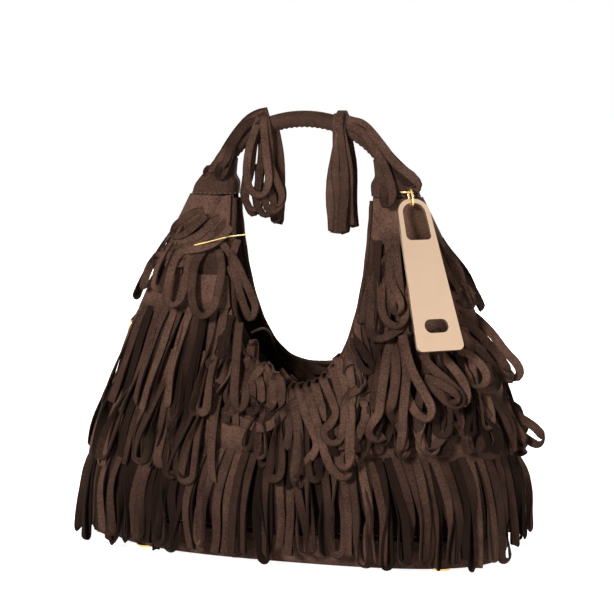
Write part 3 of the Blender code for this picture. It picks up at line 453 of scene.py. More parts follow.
def skinFrame(u, v):
    u, v = np.broadcast_arrays(np.asarray(u, float), np.asarray(v, float))
    step = 1e-3
    alongU = (skinBare(u + step, v) - skinBare(u - step, v)) / (2 * step)
    high, low = np.clip(v + step, 0, 1), np.clip(v - step, 0, 1)
    alongV = (skinBare(u, high) - skinBare(u, low)) / (high - low)[..., None]
    return alongU, alongV, unit(np.cross(alongU, alongV))


def skin(u, v, off=0.0):
    return skinBare(u, v) + skinFrame(u, v)[2] * np.asarray(off)[..., None]


def levelAt(u, z):      # the level v where the skin reaches height z, by halving
    u, z = np.broadcast_arrays(np.asarray(u, float), np.asarray(z, float))
    low, high = np.zeros_like(u), np.ones_like(u)
    for _ in range(26):
        middle = (low + high) / 2
        below = skinBare(u, middle)[..., 2] < z
        low, high = np.where(below, middle, low), np.where(below, high, middle)
    return (low + high) / 2


# Skin point at height z, the level way round the bag there, the normal and the metres in one turn.
# Below the plumb height the point goes straight down, as a hanging strand does.
def hang(u, z, plumb=26 * mm):
    level = levelAt(u, np.maximum(z, plumb))
    alongU, alongV, normal = skinFrame(u, level)
    point = skinBare(u, level)
    point[..., 2] += np.minimum(z - plumb, 0)
    across = alongU - alongV * (alongU[..., 2:] / np.maximum(alongV[..., 2:], 0.03))
    return point, unit(across), normal, np.linalg.norm(across, axis=-1)


def mouthShare(z, back=False):      # how far round from the middle the mouth edge reaches height z
    low = bagShape["mouthBack"] if back else bagShape["mouthFront"]
    ratio = min(1.0, ((bagShape["hornTop"] - z) / (bagShape["hornTop"] - low)) ** (bagShape["mouthRound"] / 2))
    return math.acos(ratio) / (math.pi / 2) * bagShape["share"] / 4


seamU = bagShape["share"] / 4


slouchLook = {"depth": 0.8 * mm, "narrow": (41, 9, 0.6), "broad": (23, -17, 0.4)}    # waves round, waves up, share


# Slow folds of the slouching suede: two slanting sine waves, faded out at the seam and the mouth.
def slouch(u, v):
    fold = 0
    for (around, up, share), start in ((slouchLook["narrow"], 0), (slouchLook["broad"], 1)):
        fold = fold + np.sin(u * around + v * up + start) * share
    return slouchLook["depth"] * fold * np.sin(np.pi * v)


shadeLook = {"bag": (226 * mm, 14 * mm, 0.45), "horn": (262 * mm, 6 * mm, 0.15)}     # height, how soft, how dark


# Painted shade on the suede under the fringe, less on the horns and round the end rings, over the smooth parts'
# painted shade.
def underFringe(points):
    z = points[..., 2]
    besideRing = smooth((np.abs(points[..., 1]) - 12 * mm) / (5 * mm))
    ring = np.maximum(besideRing, smooth((158 * mm - z) / (8 * mm)))
    bagTop, bagSoft, bagDark = shadeLook["bag"]
    hornTop, hornSoft, hornDark = shadeLook["horn"]
    bag = bagDark * smooth((bagTop - z) / bagSoft) * ring
    return suedeLook["smoothPaintedShade"] + np.maximum(bag, hornDark * smooth((hornTop - z) / hornSoft))


# A panel is the skin between two seams, set in from it by its folds, with a wall grown inwards.
def sewnPanel(name, first, last, columns, node):
    us = np.linspace(first, last, columns)[None, :]
    vs = np.linspace(0, 1, 61)[:, None]
    points = skin(us, vs, -0.3 * mm - np.abs(slouch(us, vs)))
    # tone: the painted shade under the fringe
    panel = gridPiece(name, points, tone=underFringe(points)[None])
    thicken(panel, bagShape["suede"] - 0.3 * mm, -1)
    declareSheet(points)
    return place(panel, suedeSmooth, "bag", node)


def sewnBody():
    gap = 0.0006        # half a seam, in turns round the bag
    sewnPanel("frontPanel", -seamU + gap, seamU - gap, 121, "front_panel")
    sewnPanel("backPanel", 0.5 - seamU + gap, 0.5 + seamU - gap, 121, "back_panel")
    sewnPanel("rightEndPanel", seamU + gap, 0.5 - seamU - gap, 61, "gusset_right")
    sewnPanel("leftEndPanel", 0.5 + seamU + gap, 1 - seamU - gap, 61, "gusset_left")


basePanel = {
    "underside": 1.2 * mm, "welt": 1.5 * mm,
    "steps": ((0.0, 1.0), (0.3, 1.006), (0.6, 1.006), (0.82, 0.995), (0.93, 0.975),      # share of the drop, scale
              (0.985, 0.945), (1.0, 0.9), (1.0, 0.6), (1.0, 0.3), (1.0, 0.0)),
}


# The seam line carried down and in by steps to a flat underside, and a tube along the seam.
def baseTray():
    us = np.arange(144) / 144
    rim, out = seamLine(us)
    drop = bagShape["seam"] - 0.5 * mm - basePanel["underside"]
    rings = []
    for part, scale in basePanel["steps"]:
        ring = rim * np.array([scale, scale, 1])
        ring[:, 2] = bagShape["seam"] - 0.5 * mm - drop * part
        rings.append(ring)
    tray = gridPiece("baseTray", np.stack(rings[::-1]), wrapColumns=True, weld=True)
    thicken(tray, bagShape["suede"], -1)
    declareSheet(np.stack(rings), wrapped=True)
    place(tray, suedeSmooth, "bag", "base_panel")
    welt = rim + out * 0.5 * mm - np.array([0, 0, basePanel["welt"]])       # the corded seam round the base
    place(tubePiece("baseWelt", welt, basePanel["welt"], 10, closed=True), suedeSmooth, "bag", "base_panel")


liningLook = {
    "gap": 0.7 * mm, "wall": 0.8 * mm, "reach": 0.86,       # reach: how far up the skin it goes
    "floor": ((0.0, 8.6 * mm), (0.4, 8.6 * mm), (0.8, 8.7 * mm), (0.88, 9.6 * mm), (0.93, 14 * mm)),
}


# The skin set in by the suede and a gap, closed below by scaled seam lines over the base board.
def liningBag():
    us = (np.arange(176) / 176)[None, :]
    vs = np.linspace(0, liningLook["reach"], 40)[:, None]
    inside = bagShape["suede"] + liningLook["gap"]
    walls = skin(us, vs, -(inside + np.abs(slouch(us, vs))))
    rim, _ = seamLine(us[0])
    floor = [rim * np.array([s, s, 0]) + np.array([0, 0, z]) for s, z in liningLook["floor"]]
    surface = np.concatenate([np.stack(floor), walls])
    bag = gridPiece("liningBag", surface, wrapColumns=True, weld=True)
    thicken(bag, liningLook["wall"], -1)
    declareSheet(surface, wrapped=True)
    return place(bag, liningCloth, "bag", "lining")


pocketLook = {"around": (0.425, 0.575), "up": (0.17, 0.66), "gap": 0.5 * mm}


# A patch of the skin, set in past the lining's back wall.
def pocketPatch():
    us = np.linspace(*pocketLook["around"], 41)[None, :]
    vs = np.linspace(*pocketLook["up"], 25)[:, None]
    inside = bagShape["suede"] + liningLook["gap"] + liningLook["wall"] + pocketLook["gap"]
    surface = skin(us, vs, -(inside + np.abs(slouch(us, vs))))
    patch = gridPiece("pocketPatch", surface)
    thicken(patch, liningLook["wall"], -1)
    declareSheet(surface)
    return place(patch, liningCloth, "bag", "inner_pocket")


rollLook = {"top": 287 * mm, "radius": 1.8, "swell": 0.15, "inset": 1.0, "rise": 1.1}      # mm from radius on


# The rolled edge: a soft tube along the mouth line, just above the panels' cut edge.
def mouthRoll(name, back):
    reach = mouthShare(rollLook["top"], back)
    bend = np.sin(np.linspace(-math.pi / 2, math.pi / 2, 121))
    us = (0.5 if back else 0.0) + reach * bend
    edge = topLine(us)
    normal = skinFrame(us, np.ones_like(us))[2]
    ahead = unit(np.gradient(edge, axis=0))
    away = unit(np.cross(normal, ahead))
    away *= np.sign((away * (np.array([0, 0, 0.25]) - edge)).sum(1, keepdims=True))
    path = edge - normal * rollLook["inset"] * mm + away * rollLook["rise"] * mm
    radius = (rollLook["radius"] + rollLook["swell"] * np.sin(np.arange(121) * 0.9)) * mm
    # a tone of painted shade, as on all the smooth parts
    roll = tubePiece(name, path, radius, 14, hint=(0, 1, 0), tone=np.array([suedeLook["smoothPaintedShade"]]))
    return place(roll, suedeSmooth, "bag", "mouth_binding_back" if back else "mouth_binding_front")


# Half an ellipse over the mouth: x = span cos t, z = foot + rise sin t.
def handleLine(t):
    b = bagShape
    return np.stack([b["handleSpan"] * np.cos(t), 0 * t, b["handleFoot"] + b["handleRise"] * np.sin(t)], -1)


# A tube along the handle line with shallow creases, its suede wall grown inwards round the cord.
def rolledHandle():
    start = math.asin(7 * mm / bagShape["handleRise"])      # its ends lie 7 mm above the foot, in the collars
    t = np.linspace(start, math.pi - start, 141)
    path = handleLine(t)
    sides = 28
    points = tubePoints(path, bagShape["handleRadius"], sides, hint=(0, 1, 0))
    turn = np.arange(sides) / sides * 2 * math.pi
    centre = path[:, None]
    creases = 1 + 0.02 * np.sin(t[:, None] * 60 + np.sin(turn * 2) * 2) * (0.5 + 0.5 * np.cos(t[:, None] * 2))
    points = centre + (points - centre) * creases[..., None]
    # a tone of painted shade, as on all the smooth parts
    cover = gridPiece("rolledHandle", points, wrapColumns=True, tone=np.array([suedeLook["smoothPaintedShade"]]))
    thicken(cover, 1.5 * mm, -1)
    return place(cover, suedeSmooth, "bag", "handle_cover")


collarLook = {
    "low": ((290.5 * mm, 0.45), (292.5 * mm, 1.0), (300 * mm, 1.3)),                    # height, mm off the horn
    "high": ((312 * mm, 2.2, 5.2), (317 * mm, 1.8, 3.2), (323.5 * mm, 1.0, 0.2)),       # height, mm off the handle
    "gathers": ((9, 0.03, 1), (14, 0.02, 0)),                                           # folds, depth, start
    "wall": 1.2 * mm,
}
collarSeams = []        # the line near each collar's lower edge that its stitches follow


# A sleeve from an oval round the horn's top to a circle round the handle, gathered at its upper
# end. Its lower edge lies flat on the panels and thins out, so the seam there shows as a line.
def hornCollar(name, sign, node):
    sides, rows = 72, 37
    turn = np.arange(sides) / sides * 2 * math.pi
    power = 2 / 2.4
    ovalX = np.sign(np.cos(turn)) * np.abs(np.cos(turn)) ** power
    ovalY = np.sign(np.sin(turn)) * np.abs(np.sin(turn)) ** power
    rings = []
    for z, grow in collarLook["low"]:
        us = np.linspace(seamU, 0.25, 9)
        section = skin(us, levelAt(us, min(z, bagShape["hornTop"])))
        lowX, highX = bagShape["mouthWidth"] - 1.5 * mm, section[:, 0].max()
        middle, halfX = (lowX + highX) / 2, (highX - lowX) / 2 + grow * mm
        halfY = np.abs(section[:, 1]).max() + grow * mm
        rings.append(np.stack([middle + halfX * ovalX, halfY * ovalY, np.full(sides, z)], -1))
    for z, extra, inner in collarLook["high"]:
        t = math.asin((z - bagShape["handleFoot"]) / bagShape["handleRise"])
        way = unit(np.array([bagShape["handleRise"] * math.cos(t), 0, bagShape["handleSpan"] * math.sin(t)]))
        circle = np.cos(turn)[:, None] * way + np.sin(turn)[:, None] * np.array([0, 1, 0])
        fill = extra + inner * np.clip(-np.cos(turn), 0, 1)[:, None] ** 2
        rings.append(handleLine(np.array(t)) + (bagShape["handleRadius"] + fill * mm) * circle)
    rings = np.stack(rings)
    points = np.stack([curveThrough(rings[:, k], rows) for k in range(sides)], 1)
    middle = points.mean(1, keepdims=True)
    climb = smooth((np.linspace(0, 1, rows) - 0.25) / 0.4)[:, None]
    waves = sum(depth * np.sin(turn * folds + start) for folds, depth, start in collarLook["gathers"])
    gather = 1 + waves[None, :] * climb
    points = middle + (points - middle) * gather[..., None]
    points = points * np.array([sign, 1, 1])
    collarSeams.append(curveThrough(np.concatenate([points, points[:, :1]], 1)[3], 160))
    # a tone of painted shade, as on all the smooth parts
    collar = gridPiece(name, points, wrapColumns=True, tone=np.array([suedeLook["smoothPaintedShade"]]), flip=sign < 0)
    thicken(collar, collarLook["wall"], -1)
    declareSheet(points, wrapped=True)
    return place(collar, suedeSmooth, "bag", node)


# Strands are cut loops: each goes down in front, turns at its lower end and comes back up behind.
# Seen from its side the two legs part slowly and a half circle of radius bend joins them.
# twist turns the loop about its own length, so its two legs come to lie side by side; roll turns the
# ribbon about its own path. fan says how much of the skin's own spread the loop follows, lean and
# wave carry it sideways, and split pulls its legs apart.
def loopPoints(u, slit, end, look, bulge, plumb, chance, legRows=11, arcRows=7):
    count = len(u)
    pick = lambda low, high: low + (high - low) * chance.random((count, 1))
    u, slit, end = u[:, None], slit[:, None], end[:, None]
    opens = chance.random((count, 1)) < look["open"]        # these show their loop from in front
    side = np.sign(pick(-1, 1))
    bend = np.where(opens, pick(*look["bend"]), pick(*look["closedBend"])) * mm
    twist = np.radians(np.where(opens, pick(50, look["twist"]), pick(*look["closedTwist"]))) * side
    roll = np.radians(np.where(opens, pick(*look["roll"]), pick(*look["closedRoll"]))) * np.sign(pick(-1, 1))
    width = pick(*look["width"]) * mm
    length = slit - end
    k = np.linspace(0, 1, legRows)[None]
    phi = np.linspace(0, math.pi, arcRows + 2)[None, 1:-1]
    down = (length - bend) * k
    depth = np.concatenate([down, length - bend + bend * np.sin(phi), down[:, ::-1]], 1)
    part = 0.16 + 0.84 * smooth(k * 1.05) ** 1.3
    opening = np.concatenate([bend * part, bend * np.cos(phi), -bend * part[:, ::-1]], 1)
    leg = np.concatenate([0 * k + 1, np.cos(phi), 0 * k - 1], 1)
    share = depth / length
    turned = twist * smooth(share * 1.1) ** 0.9 + pick(-0.3, 0.3) * np.sin(share * pick(4, 8))
    belly = np.sin(math.pi * np.clip(share, 0, 1))
    shift = pick(-1, 1) * look["lean"] * mm * share**1.4
    shift = shift + pick(-1, 1) * look["wave"] * mm * np.sin(share * pick(3, 6.5) + pick(0, 6)) * share
    shift = shift + leg * pick(-1, 1) * look["split"] * mm * belly
    stand = pick(0, 1) * look["lift"] * mm * smooth(depth / (20 * mm)) + pick(-1, 1) * 1.2 * mm * belly
    off = 1.8 * mm + bend * smooth(share) + stand + bulge[:, None] * (1 - np.exp(-depth / (28 * mm)))
    z = slit - depth
    first, tangent, _, reach = hang(u + 0 * z, z, plumb)
    drift = ((first - first[:, :1]) * tangent[:, :1]).sum(-1)
    point, tangent, normal, _ = hang(u - (1 - look["fan"]) * drift / reach, z, plumb)
    c, s = np.cos(turned)[..., None], np.sin(turned)[..., None]
    opened, flat = normal * c + tangent * s, tangent * c - normal * s
    centre = point + normal * off[..., None] + tangent * shift[..., None] + opened * opening[..., None]
    ahead = unit(np.gradient(centre, axis=1))
    flat = unit(flat - ahead * (flat * ahead).sum(-1, keepdims=True))
    rise = np.cross(ahead, flat)
    rolled = (roll * smooth(share * 1.2))[..., None]
    flat, rise = flat * np.cos(rolled) + rise * np.sin(rolled), rise * np.cos(rolled) - flat * np.sin(rolled)
    across = np.array([-0.5, 0.0, 0.5]) * width[..., None]
    cup = (pick(-1, 1) * mm * smooth(share))[..., None] * np.array([0, 1.0, 0])
    shade = 0.5 * np.clip(-leg, 0, 1) * np.cos(turned) ** 2       # the leg behind stays in the dark
    ribbon = centre[:, :, None] + flat[:, :, None] * across[..., None] + rise[:, :, None] * cup[..., None]
    return ribbon, shade


tierLook = {
    "width": (6.0, 7.4),    # one strand
    "bend": (2.2, 5.4),     # half the opening at the fold of an open loop
    "open": 0.5,            # share of the loops that turn and show their opening
    "twist": 95,            # most turn of an open loop, degrees
    "roll": (25, 62),       # turn of its ribbon, degrees
    "closedBend": (1.2, 2.4), "closedTwist": (0, 38), "closedRoll": (-24, 24),      # the same on a closed loop
    "fan": 0.5, "lean": 6, "wave": 3, "split": 2.4, "lift": 4.5, "ragged": (-5, 8), "pitch": 6.9, "skip": (9, 9),
    "thick": 1.25 * mm, "header": 1.4 * mm,
}


# A tier's strands spread evenly along its slit line, each with its own small differences. The
# strands at the strip's two ends hang nearly plumb, those in its middle follow the skin's spread.
def tierStrands(seed, first, last, slit, end, bulge, plumb=48 * mm, flare=1.0, **changes):
    look = dict(tierLook, **changes)
    chance = np.random.default_rng(seed)
    fine = np.linspace(first, last, 300)
    slits = slit(fine) if callable(slit) else np.full(300, slit)
    line = hang(fine, slits)[0]
    run = np.concatenate([[0], np.cumsum(np.linalg.norm(np.diff(line, axis=0), axis=1))])
    count = max(3, int(run[-1] / (look["pitch"] * mm)))
    u = np.interp((np.arange(count) + chance.uniform(0.35, 0.65, count)) / count * run[-1], run, fine)
    u = u[(u < look["skip"][0]) | (u > look["skip"][1])]
    count = len(u)
    slitZ = np.interp(u, fine, slits) + chance.uniform(-2, 2, count) * mm
    endZ = (end(u) if callable(end) else np.full(count, end)) + chance.uniform(*look["ragged"], count) * mm
    swell = bulge * (1 + flare * quarterTurn(u)[0] ** 3)
    aside = np.abs(2 * (u - first) / (last - first) - 1)
    fan = np.interp(aside, (0, 1), look["fan"]) if isinstance(look["fan"], tuple) else np.full(count, look["fan"])
    strands, shade = loopPoints(u, slitZ, endZ, dict(look, fan=fan[:, None]), swell, plumb, chance)
    return strands, np.clip(chance.random((count, 1)) ** 0.85 + shade, 0, 0.95)


# The uncut upper part of a strip, lying on the skin from its top edge down to the slits.
def tierHeader(first, last, top, slit, off=0.9 * mm, columns=110, rows=9):
    us = np.linspace(first, last, columns)
    slits = np.broadcast_to(slit(us) if callable(slit) else slit, us.shape)
    tops = np.maximum(np.minimum(top, topLine(us)[:, 2] - 2.5 * mm), slits + 3 * mm)
    k = np.linspace(0, 1, rows)[:, None]
    z = slits - 3 * mm + (tops - slits + 3 * mm) * k
    point, _, normal, _ = hang(np.broadcast_to(us, z.shape), z)
    ripple = 0.35 * mm * np.sin(us * 150)[None, :] * (1 - k)
    return point + normal * (off + ripple + 0.5 * mm * (1 - k))[..., None]


# A tier's loops and the uncut strip that holds them, each given a wall of suede.
def fringePiece(name, strands, tones, header, node):
    loops = gridPiece(name, strands, tone=tones)
    thicken(loops, tierLook["thick"], 0)
    place(loops, suedeStrand, "bag", node)
    shade = 0.55 * (1 - smooth(np.linspace(0, 1, len(header)) * 2.2))
    strip = gridPiece(name + "Header", header, tone=shade[None])
    thicken(strip, tierLook["header"], 1)
    place(strip, suedeSmooth, "bag", node)
    declareSheet(strands)


tiers = {
    "bottom": {"top": 122 * mm, "slit": 91 * mm, "end": 11 * mm, "bulge": 4 * mm},
    "middleLeft": {"top": 165 * mm, "slit": 139 * mm, "end": 70 * mm, "bulge": 4 * mm},
    "middleRight": {"top": 161 * mm, "slit": 135 * mm, "end": 97 * mm, "bulge": 3.5 * mm},
    "upperLeft": {"top": 225 * mm, "slit": 197 * mm, "end": 114 * mm, "bulge": 3 * mm},
    "upperRight": {"top": 218 * mm, "slit": 190 * mm, "end": 112 * mm, "bulge": 2.5 * mm},
    "hornLeft": {"top": 289 * mm, "slit": 264 * mm, "end": 190 * mm, "bulge": 1.5 * mm},
    "hornRight": {"top": 289 * mm, "slit": 256 * mm, "end": 184 * mm, "bulge": 1.5 * mm},
}


# The lowest tier: one strip on each panel, with the left end's loops fuller and the right end's shorter.
def bottomFringe():
    t = tiers["bottom"]
    for name, node, first, last, seed in (
            ("bottomFrontFringe", "fringe_bottom_front", -0.197, 0.197, 3),
            ("bottomBackFringe", "fringe_bottom_back", 0.303, 0.697, 4),
            ("bottomRightFringe", "fringe_bottom_right", 0.199, 0.301, 5),
            ("bottomLeftFringe", "fringe_bottom_left", 0.699, 0.801, 6)):
        side = node.endswith(("right", "left"))
        end, bulge = {"left": (8 * mm, 13 * mm), "right": (24 * mm, 4 * mm)}.get(node[14:], (t["end"], t["bulge"]))
        strands, tones = tierStrands(seed, first, last, t["slit"], end, bulge, flare=0.3 if side else 1.5,
                                     fan=0.8, lean=5, lift=4, split=2)
        fringePiece(name, strands, tones, tierHeader(first, last, t["top"], t["slit"]), node)


ringRoom = {"low": 164 * mm, "high": 194 * mm, "half": 10.5 * mm, "hornEnd": 210 * mm}     # space at the end rings


# A tier that runs from the mouth's front edge round the bag's end to its back edge.
def wrapTier(word, node, seed, turn=0.080, **changes):
    side = "Right" if node.endswith("right") else "Left"
    t = tiers[word + side]
    front = max(mouthShare(t["slit"] + 6 * mm), turn)
    back = max(mouthShare(t["slit"] + 6 * mm, True), turn)
    first, last = (front, 0.5 - back) if side == "Right" else (0.5 + back, 1 - front)
    middle = 0.25 if side == "Right" else 0.75
    end = t["end"]
    if word == "horn":      # above the end ring the horn's strands are shorter
        end = lambda u: np.interp(np.abs(u - middle), (0.025, 0.06), (ringRoom["hornEnd"], t["end"]))
    strands, tones = tierStrands(seed, first, last, t["slit"], end, t["bulge"], plumb=60 * mm, flare=0.3, **changes)
    y, z = strands[..., 1], strands[..., 2]
    beside = (z > ringRoom["low"]) & (z < ringRoom["high"]) & (np.abs(y) < ringRoom["half"])
    keep = ~beside.any(axis=(1, 2))     # the strands part over the ring, which needs room to swing
    strands, tones = strands[keep], tones[keep]
    fringePiece(word + side + "Fringe", strands, tones, tierHeader(first, last, t["top"], t["slit"]), node)


mouthLook = {
    # where the front strands end: the turn round the bag, then the height in mm
    "fall": ((-0.127, 150), (-0.10, 128), (-0.074, 106), (-0.045, 102), (-0.02, 84), (-0.01, 64),
             (0.03, 60), (0.05, 74), (0.074, 88), (0.10, 118), (0.127, 146)),
    "messy": {"flare": 0, "bend": (2.5, 5), "open": 0.5, "twist": 100, "lean": 7, "wave": 4, "split": 3, "lift": 3,
              "ragged": (-2, 20), "pitch": 6.2, "fan": 0.35},
}


# The strands under the mouth edge: their slits follow it, and in front their ends follow a drawn line.
def mouthFringe():
    slit = lambda u: topLine(u)[..., 2] - 4 * mm
    fall = np.array(mouthLook["fall"])
    frontEnd = lambda u: np.interp(u, fall[:, 0], fall[:, 1] * mm)
    for name, node, first, last, end, seed in (
            ("mouthFrontFringe", "fringe_mouth_front", -0.127, 0.127, frontEnd, 31),
            ("mouthBackFringe", "fringe_mouth_back", 0.5 - 0.074, 0.5 + 0.074, 84 * mm, 32)):
        strands, tones = tierStrands(seed, first, last, slit, end, 4 * mm, **mouthLook["messy"])
        fringePiece(name, strands, tones, tierHeader(first, last, 320 * mm, slit, columns=90), node)
